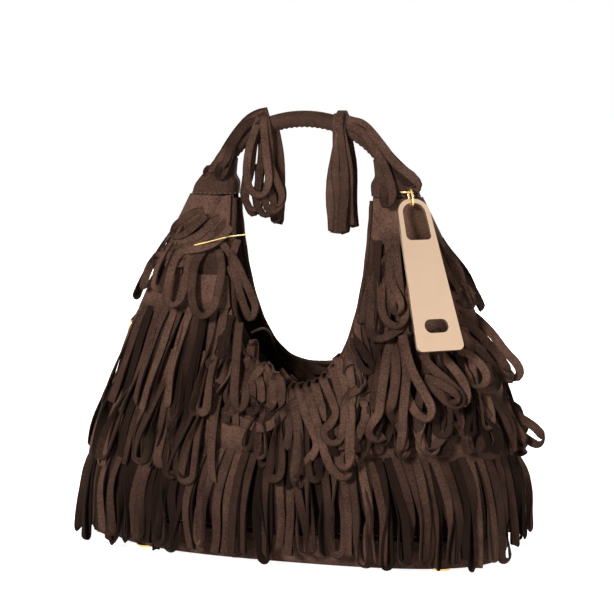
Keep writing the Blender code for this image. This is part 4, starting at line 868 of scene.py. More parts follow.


# Strands placed one by one, read off the photograph: tone, width in mm, then the points that the strand runs
# through, in mm.
placedLook = {
    "mouthLoops": (
        (0.1, 6.8, ((-43.5, -37.6, 189.4), (-42.5, -45.5, 176.5), (-41.2, -54.3, 155.8), (-40.2, -61.5, 133.1),
            (-37.3, -63.2, 125), (-34, -62.7, 123.6), (-31.7, -60.2, 128.3), (-32.8, -53.9, 139.1),
            (-37.2, -45.9, 152.7), (-41.1, -40.4, 163.7))),
        (0.0, 6.4, ((-33.7, -44, 151.5), (-32.7, -43.6, 161.6), (-31.6, -43.1, 173.6), (-30.9, -39.9, 175.7),
            (-30.2, -38.3, 170), (-30.1, -40.6, 158.2))),
        (0.15, 6.0, ((-39, -40.5, 166.9), (-35.1, -45.9, 164.8), (-32.7, -48.6, 159.3), (-30.8, -49.5, 152.6),
            (-28.6, -51.7, 144), (-26.4, -55.4, 134.7), (-27, -56.7, 126.9))),
        (0.05, 6.4, ((-25.3, -35.7, 136.9), (-22, -37.7, 143.1), (-20.4, -42.5, 146.2), (-22, -47.5, 143.1),
            (-25.8, -48.7, 161.7), (-28.6, -49.8, 154.7), (-28.8, -51, 145.9), (-25.9, -53.6, 136.4),
            (-24.2, -54, 130.6))),
        (0.0, 6.4, ((-17.1, -36.6, 133.7), (-15.3, -38.6, 140.4), (-14.4, -43.4, 143.9), (-15.3, -48.4, 140.4),
            (-17.4, -50.6, 159.3), (-22.6, -52.2, 153.4), (-27.8, -52.4, 147.2), (-30.2, -51.4, 139.8))),
        (0.1, 6.6, ((-11.5, -36.8, 132.6), (-10.6, -38.8, 139.5), (-10.1, -43.6, 143.1), (-10.6, -48.6, 139.5),
            (-6.8, -54.8, 153.5), (-3.4, -55, 145.8), (-2.1, -57.1, 136.2), (-2.5, -59, 127.6),
            (-4.6, -57.4, 124.2), (-8.2, -52.3, 131.1))),
        (0.0, 7.0, ((-19.6, -42.4, 158), (-12.7, -49.3, 152.4), (-9.9, -53.9, 144.3), (-8.9, -58.2, 134.1),
            (-7.9, -59.2, 127.3), (-10.2, -57.6, 124), (-14.3, -52.6, 130.8))),
        (0.1, 6.4, ((-28.9, -42.8, 154.6), (-23.5, -49.8, 147.9), (-20.2, -53.5, 140.7), (-19.1, -56.5, 131.3),
            (-19.7, -56.7, 126.3), (-22.8, -52.1, 132.3))),
        (0.3, 6.2, ((-20.1, -43.9, 152.2), (-17.4, -49.5, 143.2), (-15.8, -52.9, 134.8),
            (-15.7, -54.8, 128.2))),
        (0.0, 6.4, ((-31.7, -34.7, 141.1), (-27.3, -36.7, 146.6), (-25, -41.5, 149.3), (-27.3, -46.5, 146.6),
            (-31.6, -47, 155.1), (-31.1, -51.9, 143.9), (-27.7, -54.5, 134.5))),
        (0.2, 6.2, ((-4.7, -37, 132), (-4.5, -39, 139), (-4.4, -43.8, 142.6), (-4.5, -48.8, 139),
            (-2, -52.2, 140.4), (-0.1, -55.8, 132.2), (-0.5, -57.3, 124.4))),
        (0.35, 6.0, ((-43, -41.2, 158.7), (-38.4, -48.8, 145), (-31.6, -53.8, 134.2), (-24, -54.8, 128.7))),
    ),
    "mouthFolds": (
        (0.5, 7.5, ((-37.1, -52.8, 129.7), (-28.9, -55.5, 127.6), (-17.8, -57.8, 123.6), (-8.9, -60.2, 119.5),
            (-4, -59.4, 115.7))),
        (0.0, 8.0, ((-50.4, -57.2, 115.7), (-44, -60.4, 115.4), (-32.7, -63, 113.7), (-22.8, -64.9, 111.2),
            (-15.2, -66.2, 110.3), (-8, -66.1, 113.7), (-3.9, -62.9, 117.3), (-0.2, -58.1, 122.6))),
        (0.05, 7.0, ((-3, -59.4, 109.7), (-4, -62.6, 115.2), (0, -63.8, 120.7), (3, -61.9, 125.5),
            (6.7, -57.4, 128.8), (11.2, -52, 132.1))),
        (0.0, 7.2, ((-10.5, -35, 151.2), (-5.4, -38, 146.9), (1, -42, 142.8), (9.2, -45, 138.7),
            (15.6, -46, 137.2))),
        (0.1, 7.0, ((0.5, -30, 145.8), (-2.3, -38, 142), (-2.9, -46, 137.3), (-2.1, -52, 131.4),
            (1.6, -54, 126.9))),
        (0.1, 7.2, ((15.1, -30, 140.5), (11.8, -40, 139), (5.3, -46, 135.7), (0.4, -50, 133.1),
            (-1.5, -54, 127.8))),
    ),
    "backEdge": (
        (0.35, 7.0, ((-39.5, 44, 156.4), (-33.7, 43, 151.5), (-21.2, 42, 145.6), (-7, 42, 140.6),
            (9.6, 41, 138.4), (19.7, 40, 136.1), (24.5, 38, 131.6))),
        (0.1, 6.4, ((-37.3, 44, 151.2), (-30, 42, 146.5), (-20.6, 40, 139.7), (-11.3, 38, 132), (-2, 36, 125.9),
            (6.7, 36, 123.9), (10.2, 37, 129), (7.5, 39, 132.8))),
        (0.2, 6.0, ((-21.5, 43, 147.8), (-15.5, 41, 142), (-5.8, 38, 134.4), (3.5, 36, 129.9), (11, 36, 128.7),
            (17, 38, 133.4))),
        (0.3, 6.4, ((-13.1, 44, 143.7), (-3.7, 42, 142.3), (5.3, 41, 139.7), (14.2, 40, 138.2),
            (20.2, 38, 133.5), (16.2, 37, 129.3))),
        (0.45, 6.4, ((-35.9, 43, 145), (-27.5, 41, 137.1), (-16.3, 40, 131.4), (-6.4, 40, 127.7),
            (1.5, 39, 124))),
        (0.0, 1.6, ((-34.6, -33, 181.1), (-32.1, -26, 182.3), (-31.3, -12, 181.6), (-32.3, 6, 175.8),
            (-34.2, 22, 166.2), (-34.7, 34, 156), (-33, 41, 148.6), (-32.5, 41, 141.2))),
    ),
    "centreLoops": (
        (0.05, 6.2, ((-3.7, -37, 132), (-3.6, -39, 139), (-3.5, -43.8, 142.6), (-3.6, -48.8, 139),
            (4, -61.8, 120.5), (6.2, -65.2, 116.3), (7.9, -68.9, 108.2), (6.5, -70.1, 101.4),
            (5.9, -69.8, 95.4))),
        (0.0, 7.6, ((3.1, -37, 132), (3.1, -39, 139), (3, -43.8, 142.6), (3.1, -48.8, 139), (13, -65.5, 118.7),
            (16.3, -72.2, 104.4), (15.7, -75.4, 91.2), (14.7, -77.3, 80.7), (15.4, -78, 72),
            (16.8, -74.3, 67.3), (16.8, -70.7, 74.4))),
        (0.05, 6.8, ((10.3, -36.9, 132.4), (9.6, -38.9, 139.4), (9.2, -43.7, 143), (9.6, -48.7, 139.4),
            (20.6, -64.7, 121), (27.8, -70.2, 110.6), (31.3, -73.6, 103.6), (30.8, -75.3, 97),
            (26.3, -75.5, 90.9), (21, -74.7, 84.5), (17.3, -72.2, 76.8))),
        (0.0, 7.0, ((18.4, -36.5, 134), (16.4, -38.5, 140.7), (15.3, -43.3, 144.2), (16.4, -48.3, 140.7),
            (27.6, -65.3, 122.5), (33.9, -72.4, 110.4), (38.9, -77.3, 97), (43.4, -79.1, 86.8),
            (49.7, -80.1, 80.1), (55.4, -79.4, 77.9), (58.7, -76.8, 80), (55.6, -71, 84.9),
            (48.6, -65.6, 93.2))),
        (0.0, 7.0, ((25.9, -35.7, 137.2), (22.5, -37.7, 143.3), (20.8, -42.5, 146.5), (22.5, -47.5, 143.3),
            (32.8, -61.5, 125), (33.2, -64.5, 115.7), (34.5, -65.4, 107.1))),
        (0.0, 6.8, ((33.4, -34.3, 142.6), (28.7, -36.3, 147.8), (26.3, -41.1, 150.4), (28.7, -46.1, 147.8),
            (41.8, -63, 132.6), (45.3, -68.2, 125.9), (42.2, -71.7, 118.6), (37.7, -73.3, 113.7),
            (38.8, -75.4, 107.4), (44.6, -76.5, 104), (50.1, -74.8, 105.9), (51.9, -70.4, 113),
            (47.4, -61.4, 121.8))),
        (0.05, 7.2, ((41.7, -31.7, 152.4), (35.9, -33.7, 156.3), (32.9, -38.5, 158.3), (35.9, -43.5, 156.3),
            (48.3, -61.3, 134.6), (52.2, -67.4, 125.2), (53.1, -72.9, 114.5), (51.7, -73.5, 106.7),
            (52.7, -73.3, 98.9))),
        (0.0, 7.6, ((46, -29.7, 159.8), (39.8, -31.7, 163), (36.6, -36.5, 164.6), (39.8, -41.5, 163),
            (55.3, -63.6, 130.5), (57.6, -71.3, 116.4), (58.7, -77, 104), (60, -80.2, 93), (57.7, -80.4, 87.1),
            (52.7, -78.7, 86.8), (49.7, -74.9, 91.2), (49.4, -68.5, 98.7))),
        (0.1, 5.0, ((49.7, -44, 144.6), (47.2, -46, 150.7), (47.6, -47, 156.3), (51.2, -46, 160),
            (55.7, -44, 158.7), (59.7, -44, 154.5), (61.5, -46, 149.4), (60.3, -50, 145.1))),
        (0.0, 7.4, ((56.2, -45.8, 151.1), (55.6, -51.2, 147), (54.7, -55.2, 140.8), (54.4, -57, 132.2))),
        (0.05, 6.6, ((55.9, -44.5, 151.9), (63.7, -51.3, 149.4), (63.3, -57.6, 145.6), (58.1, -60.6, 142.9),
            (53.3, -62.9, 139.1), (51.6, -64, 132.4), (52.9, -65.1, 122.8))),
        (0.1, 6.8, ((65.6, -47, 146.8), (64.5, -52.4, 142.8), (63.9, -56.6, 135.6), (67.1, -60.2, 130.5),
            (67.6, -64.1, 121.5), (64.7, -67.9, 113.3), (61.9, -70.5, 104.8), (62.6, -69.2, 96.7))),
        (0.1, 6.6, ((71.7, -45.5, 146.9), (70.8, -51.6, 141), (70.4, -55.7, 134.8), (70.4, -59.7, 128.7),
            (72.8, -61.3, 123.2), (69.4, -61.4, 117.2))),
        (0.3, 6.4, ((53.7, -51.3, 134.2), (58.5, -58, 125.7), (61.7, -62.4, 115), (61.1, -63.9, 107.3))),
    ),
    "rightLoops": (
        (0.0, 7.2, ((81.5, -35.2, 182.2), (81.1, -43.6, 174.6), (80.8, -52.2, 163.1), (80.6, -59.3, 150.6),
            (79.9, -64.3, 137.8), (79.4, -67.7, 127.7), (74.8, -69.2, 120.9), (72.1, -70.1, 115.1),
            (73.7, -70.4, 109.4), (79.4, -69.3, 107.1), (83, -64.1, 109.6))),
        (0.0, 7.4, ((82.8, -36.3, 178.5), (87.6, -48, 168.6), (89.9, -56.1, 154.4), (89.4, -62.9, 140),
            (87.7, -65.4, 129.7), (89.8, -63.8, 123.6), (92.8, -59.9, 120.1))),
        (0.05, 7.0, ((89.5, -35.1, 182.5), (94.7, -46.3, 170.7), (98.3, -55.2, 157.6), (98.6, -62.2, 142.3),
            (98.2, -66.4, 127.5), (98.4, -69, 113.5), (96.5, -70.9, 99.1), (97.7, -67.4, 95.6),
            (98.1, -60.8, 105))),
        (0.1, 6.8, ((74.6, -39.6, 165.8), (74.4, -46.5, 160), (71, -52.5, 151), (66.4, -54.2, 143.2),
            (61.8, -51.7, 138.6))),
        (0.15, 6.8, ((78.1, -37.5, 171.6), (75.8, -48.1, 161.3), (75.3, -55.7, 149.8), (73.8, -59.4, 138.6),
            (74.1, -60.4, 129))),
        (0.0, 6.2, ((64.8, -22, 229.8), (62.1, -24, 219.3), (58.3, -26, 206.6), (54.7, -28, 191.7),
            (56.1, -29, 180.7), (62.8, -30, 176.3), (67.6, -30, 180.8), (69.2, -28, 191.2))),
        (0.05, 6.6, ((69, -23.4, 231.1), (71.9, -31.8, 218.3), (73.7, -37.7, 206.4), (77.8, -42.2, 197.7),
            (84.2, -42.9, 192.8), (91, -42.2, 193.5), (92.8, -37.8, 199.8), (91.1, -32.5, 208.5),
            (85.7, -27.5, 218.3), (81.4, -23.3, 228.3))),
        (0.1, 6.2, ((77.1, -23.2, 230.3), (82.1, -30.3, 220.6), (88.1, -35, 211.9), (89.8, -37.5, 206),
            (86.5, -39.4, 201.3), (82.7, -36.8, 204.5), (80.2, -31.2, 214.3), (76.2, -24.2, 226.1))),
        (0.1, 6.4, ((60.8, -23.2, 227.6), (64.1, -31.9, 213.9), (65, -39.3, 197.9), (65.8, -44.5, 187),
            (71.3, -46.9, 182.3), (78.7, -46.2, 183.5), (85.4, -43.3, 187.6), (91.9, -39.3, 192.6),
            (93, -34.7, 196.2))),
        (0.2, 6.2, ((65.3, -23.8, 225.7), (68.4, -31.6, 210.8), (69, -38.1, 195.8), (71.1, -41.9, 185.8),
            (76.3, -40.9, 184.8), (77.3, -36.5, 192.7))),
    ),
    "tierLoops": (
        (0.0, 7.2, ((88.5, -33.5, 188.5), (92.9, -43.2, 181.6), (97.4, -50.9, 171.4), (103.7, -57, 159),
            (111.9, -60.2, 146.4), (118.6, -61.4, 135.5), (119.8, -62, 128.4), (116, -63.3, 124.2),
            (108.3, -62.1, 127.8), (101, -58, 137.1), (94.9, -50.8, 150.3), (91.5, -43.5, 161.6))),
        (0.05, 7.0, ((106.6, -37.6, 171.9), (112.8, -45.9, 165), (121, -49.4, 158.6), (130.9, -51.3, 151.1),
            (138.4, -51.5, 144.2), (141.2, -52.2, 138.2), (138, -54, 133.6), (130.7, -54.6, 137),
            (120.9, -53.4, 145.7), (113.1, -51.4, 153.3))),
        (0.0, 6.8, ((111.8, -50.5, 153.7), (120.7, -52.5, 152.3), (131.5, -53.6, 146.8), (137.9, -54.3, 142.5),
            (138.2, -55.7, 138.1), (133.5, -57.8, 137.7), (129.7, -57.2, 140.5), (131.6, -54, 141.6))),
        (0.05, 7.0, ((118.5, -33.4, 171.8), (128.5, -40.4, 164.9), (138, -44.9, 155.6), (143.3, -47.5, 146.9),
            (144.1, -48.4, 138.7), (141.7, -49, 133.4), (138.2, -44.6, 134.6))),
        (0.05, 6.8, ((128.3, -29.7, 173.8), (141.4, -31.6, 171.5), (151.3, -30.4, 163.3), (156.1, -30, 155.1),
            (155.6, -35.5, 148.6), (150.8, -40.5, 147.1), (145.5, -40, 149.9), (141.2, -34.7, 156.2),
            (135.1, -31.3, 163.8))),
        (0.0, 6.8, ((133, -21.9, 186.6), (144.8, -22.1, 177.6), (153, -8.4, 164.2), (159.9, -7.3, 152.6),
            (161.6, -15.9, 144.5), (158.4, -30.5, 143.1), (150.1, -36.6, 146.4), (145.1, -32.8, 151.8))),
        (0.05, 6.8, ((129.9, -17.9, 200.8), (140.4, -16.4, 191.4), (152.3, -11.1, 178.4), (162.4, -7.3, 165.6),
            (170.9, -15.7, 156.6), (173.3, -10.8, 149.6), (165.9, -8, 150.9), (157.2, -1.7, 160.2))),
        (0.0, 7.0, ((131, -12.9, 205.5), (142.1, 2.3, 194.4), (156.6, -12.3, 185.2), (166.4, -12.7, 172.9),
            (175.6, -9.5, 162.2), (178.1, -6, 154.3), (175.1, -8.9, 149.4), (167.6, -5.7, 154.9),
            (159.2, -0.9, 162.3))),
        (0.1, 6.8, ((124.7, -9.3, 225), (133.2, -8.8, 221), (139.4, -10.2, 215), (141.9, -9.3, 210.7),
            (138.5, -7.8, 206.7), (132.1, -13.5, 209.8), (126.8, -14.2, 214))),
        (0.15, 6.8, ((92.6, -49.5, 135.2), (96.5, -56.6, 126.1), (97.9, -62.5, 114.7), (96.3, -66.4, 104.9),
            (94.2, -68.7, 96.8), (98.3, -67.8, 93.7), (101.2, -62.6, 100.2), (98.4, -55.4, 113.3))),
        (0.05, 7.0, ((102.7, -51.3, 125.5), (107.7, -59.2, 115.7), (112.6, -64.1, 105.4), (117.8, -65.9, 98.2),
            (122.5, -63.5, 98.5), (123.1, -59.3, 105), (119.3, -54.2, 115.3), (114.9, -48.8, 123.6))),
        (0.1, 7.0, ((122.9, -42.3, 133.4), (128.8, -49.8, 123.5), (129.6, -55.8, 114.1), (125, -60.5, 106.4),
            (118.2, -62.9, 101.3), (113.9, -58.2, 106.4), (115.6, -51.5, 113.6))),
        (0.0, 7.2, ((145.8, -30.3, 140.9), (153.2, -35.1, 130.5), (160.6, -34.6, 120.2), (165.6, -32.6, 110.6),
            (167, -33.7, 101.4), (164.1, -40.6, 94.7), (157.8, -45.9, 93.9), (153.9, -45.2, 99.8),
            (156.1, -38, 109), (157.7, -29.9, 116))),
        (0.1, 6.8, ((161.4, 6.5, 139.6), (167.9, -8.1, 128.5), (173.3, -7.7, 114.8), (180.7, -9.8, 104.9),
            (184.4, -12.2, 97), (178.2, 0.8, 88.6), (173.4, -3.4, 98.9))),
        (0.0, 7.0, ((166.2, 5.3, 120.6), (180.4, -2, 116.3), (191.6, -5.7, 110.1), (198.1, -9.3, 102.6),
            (193.2, -7.5, 97.7), (182.8, -2.4, 101.4), (174.1, -2, 108.4))),
        (0.25, 6.8, ((130.7, -39, 131.1), (138, -43.5, 124.9), (139.7, -46.1, 118.1), (135.3, -50.1, 111.3),
            (130.2, -50.6, 109))),
    ),
    "hornLoops": (
        (0.0, 6.6, ((-66.9, -12, 271.7), (-72.5, -15.5, 268.6), (-82.1, -20.7, 258.1), (-94.6, -23.8, 251.6),
            (-108.2, -18.1, 248.2), (-112.8, -17.1, 244.1), (-102.9, -20.3, 242.5))),
        (0.05, 6.0, ((-76.6, -13.4, 275.9), (-87.9, -16.8, 275.9), (-101.2, -15, 268), (-106.6, -17.2, 261.5),
            (-105.8, -17.1, 255.5), (-96, -22.9, 257.5), (-85.9, -22.5, 265.7), (-78.3, -18.3, 273))),
        (0.0, 6.4, ((-66.6, -13, 266.4), (-74.9, -18.4, 258.1), (-85.9, -22.7, 250.7), (-98, -27.2, 242.8),
            (-103.9, -30, 230.5), (-106.8, -33.6, 213.6), (-106.8, -35, 205.1), (-100.4, -37, 201.3),
            (-94, -35.8, 206.7), (-91.9, -30.7, 220.2), (-90.9, -25, 234.6), (-87.2, -19.3, 247.1))),
        (0.0, 6.6, ((-80.8, -18.1, 245), (-85.4, -24.5, 234.8), (-85.7, -31.6, 220.5), (-84.3, -36.8, 208.3),
            (-79.6, -41.3, 197.9), (-72.1, -43.4, 194.1), (-64.5, -40.7, 200.9), (-62.3, -34.1, 215.1),
            (-62.4, -25.8, 231.3), (-67.1, -18.5, 245.4))),
        (0.05, 6.2, ((-65.6, -16.1, 251.7), (-52.5, -21.8, 237.6), (-43.4, -25.8, 223.3), (-35.9, -30.3, 211.3),
            (-31.4, -33.2, 201.2), (-34.1, -36.2, 191.9), (-40.9, -31.4, 200.6), (-48.3, -26.6, 216.9),
            (-57.1, -21.6, 233.2))),
        (0.0, 6.6, ((-90.4, -23.1, 242), (-103.9, -23.7, 240.6), (-119.3, -18.3, 239.7), (-123.6, -17.6, 236.9),
            (-118.2, -16.5, 233.4), (-101.9, -23.1, 232.8))),
        (0.15, 6.6, ((-88.2, -23.1, 235.6), (-101.2, -24.9, 233.9), (-119.7, -17.4, 234.1),
            (-123.5, -17.3, 231.2), (-114.8, -19.5, 228), (-97.7, -22.2, 228.1))),
        (0.05, 6.6, ((-58.5, -13.5, 264.5), (-67, -18.5, 254), (-79.3, -22.3, 247.6), (-94.2, -24.9, 245.3),
            (-110.8, -17.4, 244.6), (-117, -16.5, 241.7))),
        (0.1, 6.4, ((-62.2, -12.6, 268.6), (-71.7, -17.9, 256), (-81.7, -21.8, 249.2), (-98, -24.1, 246.8),
            (-112.9, -18.1, 240.9), (-118.2, -16.6, 236.9))),
        (0.2, 6.2, ((-52.2, -15.8, 254.2), (-55.1, -20.7, 237.4), (-49, -25.5, 221), (-44.5, -29.4, 206.6))),
    ),
}


ribbonLook = {"out": (0.28, -0.95, 0.13), "turnIn": 7, "points": 44, "mess": 0.45}


# A placed strand faces out of the bag's front, and turns edge-on to a bend by how tight it is, as a
# flat strip does: its facing is the way out plus turnIn (mm) times the path's curvature.
def placedStrands(name, rows, carriers, *nodes):
    out = np.array(ribbonLook["out"])
    chance = np.random.default_rng(len(rows) * 7)
    strands, tones = [], []
    for tone, width, points in rows:
        line = curveThrough(np.array(points) * mm, 160)
        run = np.concatenate([[0], np.cumsum(np.linalg.norm(np.diff(line, axis=0), axis=1))])
        even = np.linspace(0, run[-1], ribbonLook["points"])
        path = np.stack([np.interp(even, run, line[:, i]) for i in range(3)], -1)
        ahead = unit(np.gradient(path, axis=0))
        bend = np.gradient(ahead, axis=0) / even[1]
        for _ in range(3):
            bend[1:-1] = (bend[:-2] + bend[1:-1] * 2 + bend[2:]) / 4
        face = unit(out + bend * ribbonLook["turnIn"] * mm)
        strands.append(ribbonPoints(path, np.cross(face, ahead), width * mm))
        tones.append(tone + ribbonLook["mess"] * chance.random())
    loops = gridPiece(name, np.stack(strands), tone=np.array(tones))
    thicken(loops, tierLook["thick"], 0)
    declareSheet(np.stack(strands))
    return place(loops, suedeStrand, "bag", *nodes)


def buildFringe():
    bottomFringe()
    for side, seeds in (("right", (11, 15, 19)), ("left", (12, 16, 20))):
        upper = {"fan": (0.65, 0.05), "lift": 3, "lean": 6}
        if side == "right":     # its loops are wilder
            upper.update(lean=10, wave=6, lift=4, split=5, open=0.6, bend=(2.5, 6))
        bare = (0.0, 0.0) if side == "right" else (0.783, 0.87)      # here the strands are placed one by one
        wrapTier("middle", "fringe_middle_" + side, seeds[0], fan=(0.6, 0.12))
        wrapTier("upper", "fringe_upper_" + side, seeds[1], **upper)
        wrapTier("horn", "fringe_horn_" + side, seeds[2], fan=(0.45, 0.02), lift=1.5, lean=6, split=3,
                 bend=(2, 4.5), open=0.5, ragged=(-16, 10), skip=bare)
    mouthFringe()
    for name, rows in placedLook.items():
        placedStrands(name, rows, ["back_panel" if name == "backEdge" else "front_panel"])


# A ribbon along path: flat is the way its width runs, squared to the path at every point.
def ribbonPoints(path, flat, width):
    ahead = unit(np.gradient(path, axis=0))
    flat = np.broadcast_to(flat, path.shape)
    flat = unit(flat - ahead * (flat * ahead).sum(1, keepdims=True))
    return path[:, None] + flat[:, None] * (np.array([-0.5, 0, 0.5]) * width)[None, :, None]


# A loop hung on the handle: up behind the tube, over it, down in front to the fold and back up.
# It is gathered at the handle and spreads from x to lowX on its way down. twist brings its legs
# side by side, roll shows their faces.
def saddleStrand(x, lowX, endZ, backZ, layer, bend, twist, roll, width, way):
    b = bagShape
    crest = b["handleFoot"] + b["handleRise"] * math.sqrt(1 - (x / b["handleSpan"]) ** 2)
    radius = b["handleRadius"] + (0.9 + 1.5 * layer) * mm
    turn = np.radians(np.linspace(-20, 200, 13))
    over = np.stack([0 * turn, -way * radius * np.cos(turn), crest + radius * 1.1 * np.sin(turn)], -1)
    drop = lambda z: np.linspace(crest - 8 * mm, z, 9)[1:]
    back = np.stack([0 * drop(backZ), np.linspace(-way * radius * 0.9, -way * 3.5 * mm, 8), drop(backZ)], -1)
    down, fold = drop(endZ + bend), np.linspace(0, math.pi, 8)[1:-1]
    spread = smooth(np.linspace(0, 1, 8))
    aside, front = bend * math.sin(twist), bend * math.cos(twist)
    outer = np.stack([aside * spread, way * (radius * 0.9 + front * spread), down], -1)
    foldPart = np.stack([aside * np.cos(fold), way * (radius * 0.9 + front * np.cos(fold)),
                         endZ + bend - bend * np.sin(fold)], -1)
    inner = np.stack([-aside * spread, way * (radius * 0.9 - front * spread), down], -1)[::-1]
    path = np.concatenate([back[::-1], over, outer, foldPart, inner[:-1]])
    share = np.clip((crest - path[:, 2]) / (crest - endZ), 0, 1)
    path[:, 0] += x + (lowX - x) * smooth(share * 1.15) + 1.6 * mm * np.sin(share * 7 + x * 700)
    grip = smooth(share * 1.4)[:, None] * twist
    flat = np.concatenate([np.cos(grip), -way * np.sin(grip), 0 * grip], 1)
    ahead = unit(np.gradient(path, axis=0))
    flat = unit(flat - ahead * (flat * ahead).sum(1, keepdims=True))
    turned = smooth(share * 1.5)[:, None] * roll
    return ribbonPoints(path, flat * np.cos(turned) + np.cross(ahead, flat) * np.sin(turned), width)


bunchLook = {       # the right bunch: x on the handle, x at its foot, then the heights of its ends, in mm
    "grip": (27, 35), "foot": (22.5, 40), "front": (259, 268), "back": (262, 272), "count": 9,
    "bend": (1.2, 2.4), "twist": (-0.6, 0.6), "roll": (-0.4, 0.4), "width": (5.8, 7.2),
}


# Saddle strands side by side, in three layers, each with its own small differences.
def handleBunch(side, seed):
    look = bunchLook
    chance = np.random.default_rng(seed)
    count = look["count"]
    order = chance.permutation(count)
    strands = []
    for i in range(count):
        share = (i + 0.5) / count
        x = np.interp(share, (0, 1), look["grip"]) * mm
        lowX = np.interp(share, (0, 1), look["foot"]) * mm + chance.uniform(-2, 2) * mm
        way = -1 if i % 4 else 1        # most loops hang in front of the tube, each fourth one behind
        sign = 1 if chance.random() < 0.5 else -1
        front, back = chance.uniform(*look["front"]) * mm, chance.uniform(*look["back"]) * mm
        bend = chance.uniform(*look["bend"]) * mm
        twist, roll = sign * chance.uniform(*look["twist"]), sign * chance.uniform(*look["roll"])
        width = chance.uniform(*look["width"]) * mm
        strands.append(saddleStrand(x, lowX, front, back, order[i] % 3, bend, twist, roll, width, way))
    loops = gridPiece("handleBunch" + side.title(), np.stack(strands), tone=0.5 * chance.random(count))
    thicken(loops, tierLook["thick"], 0)
    declareSheet(np.stack(strands))
    return place(loops, suedeStrand, "bag", "handle_fringe_" + side)


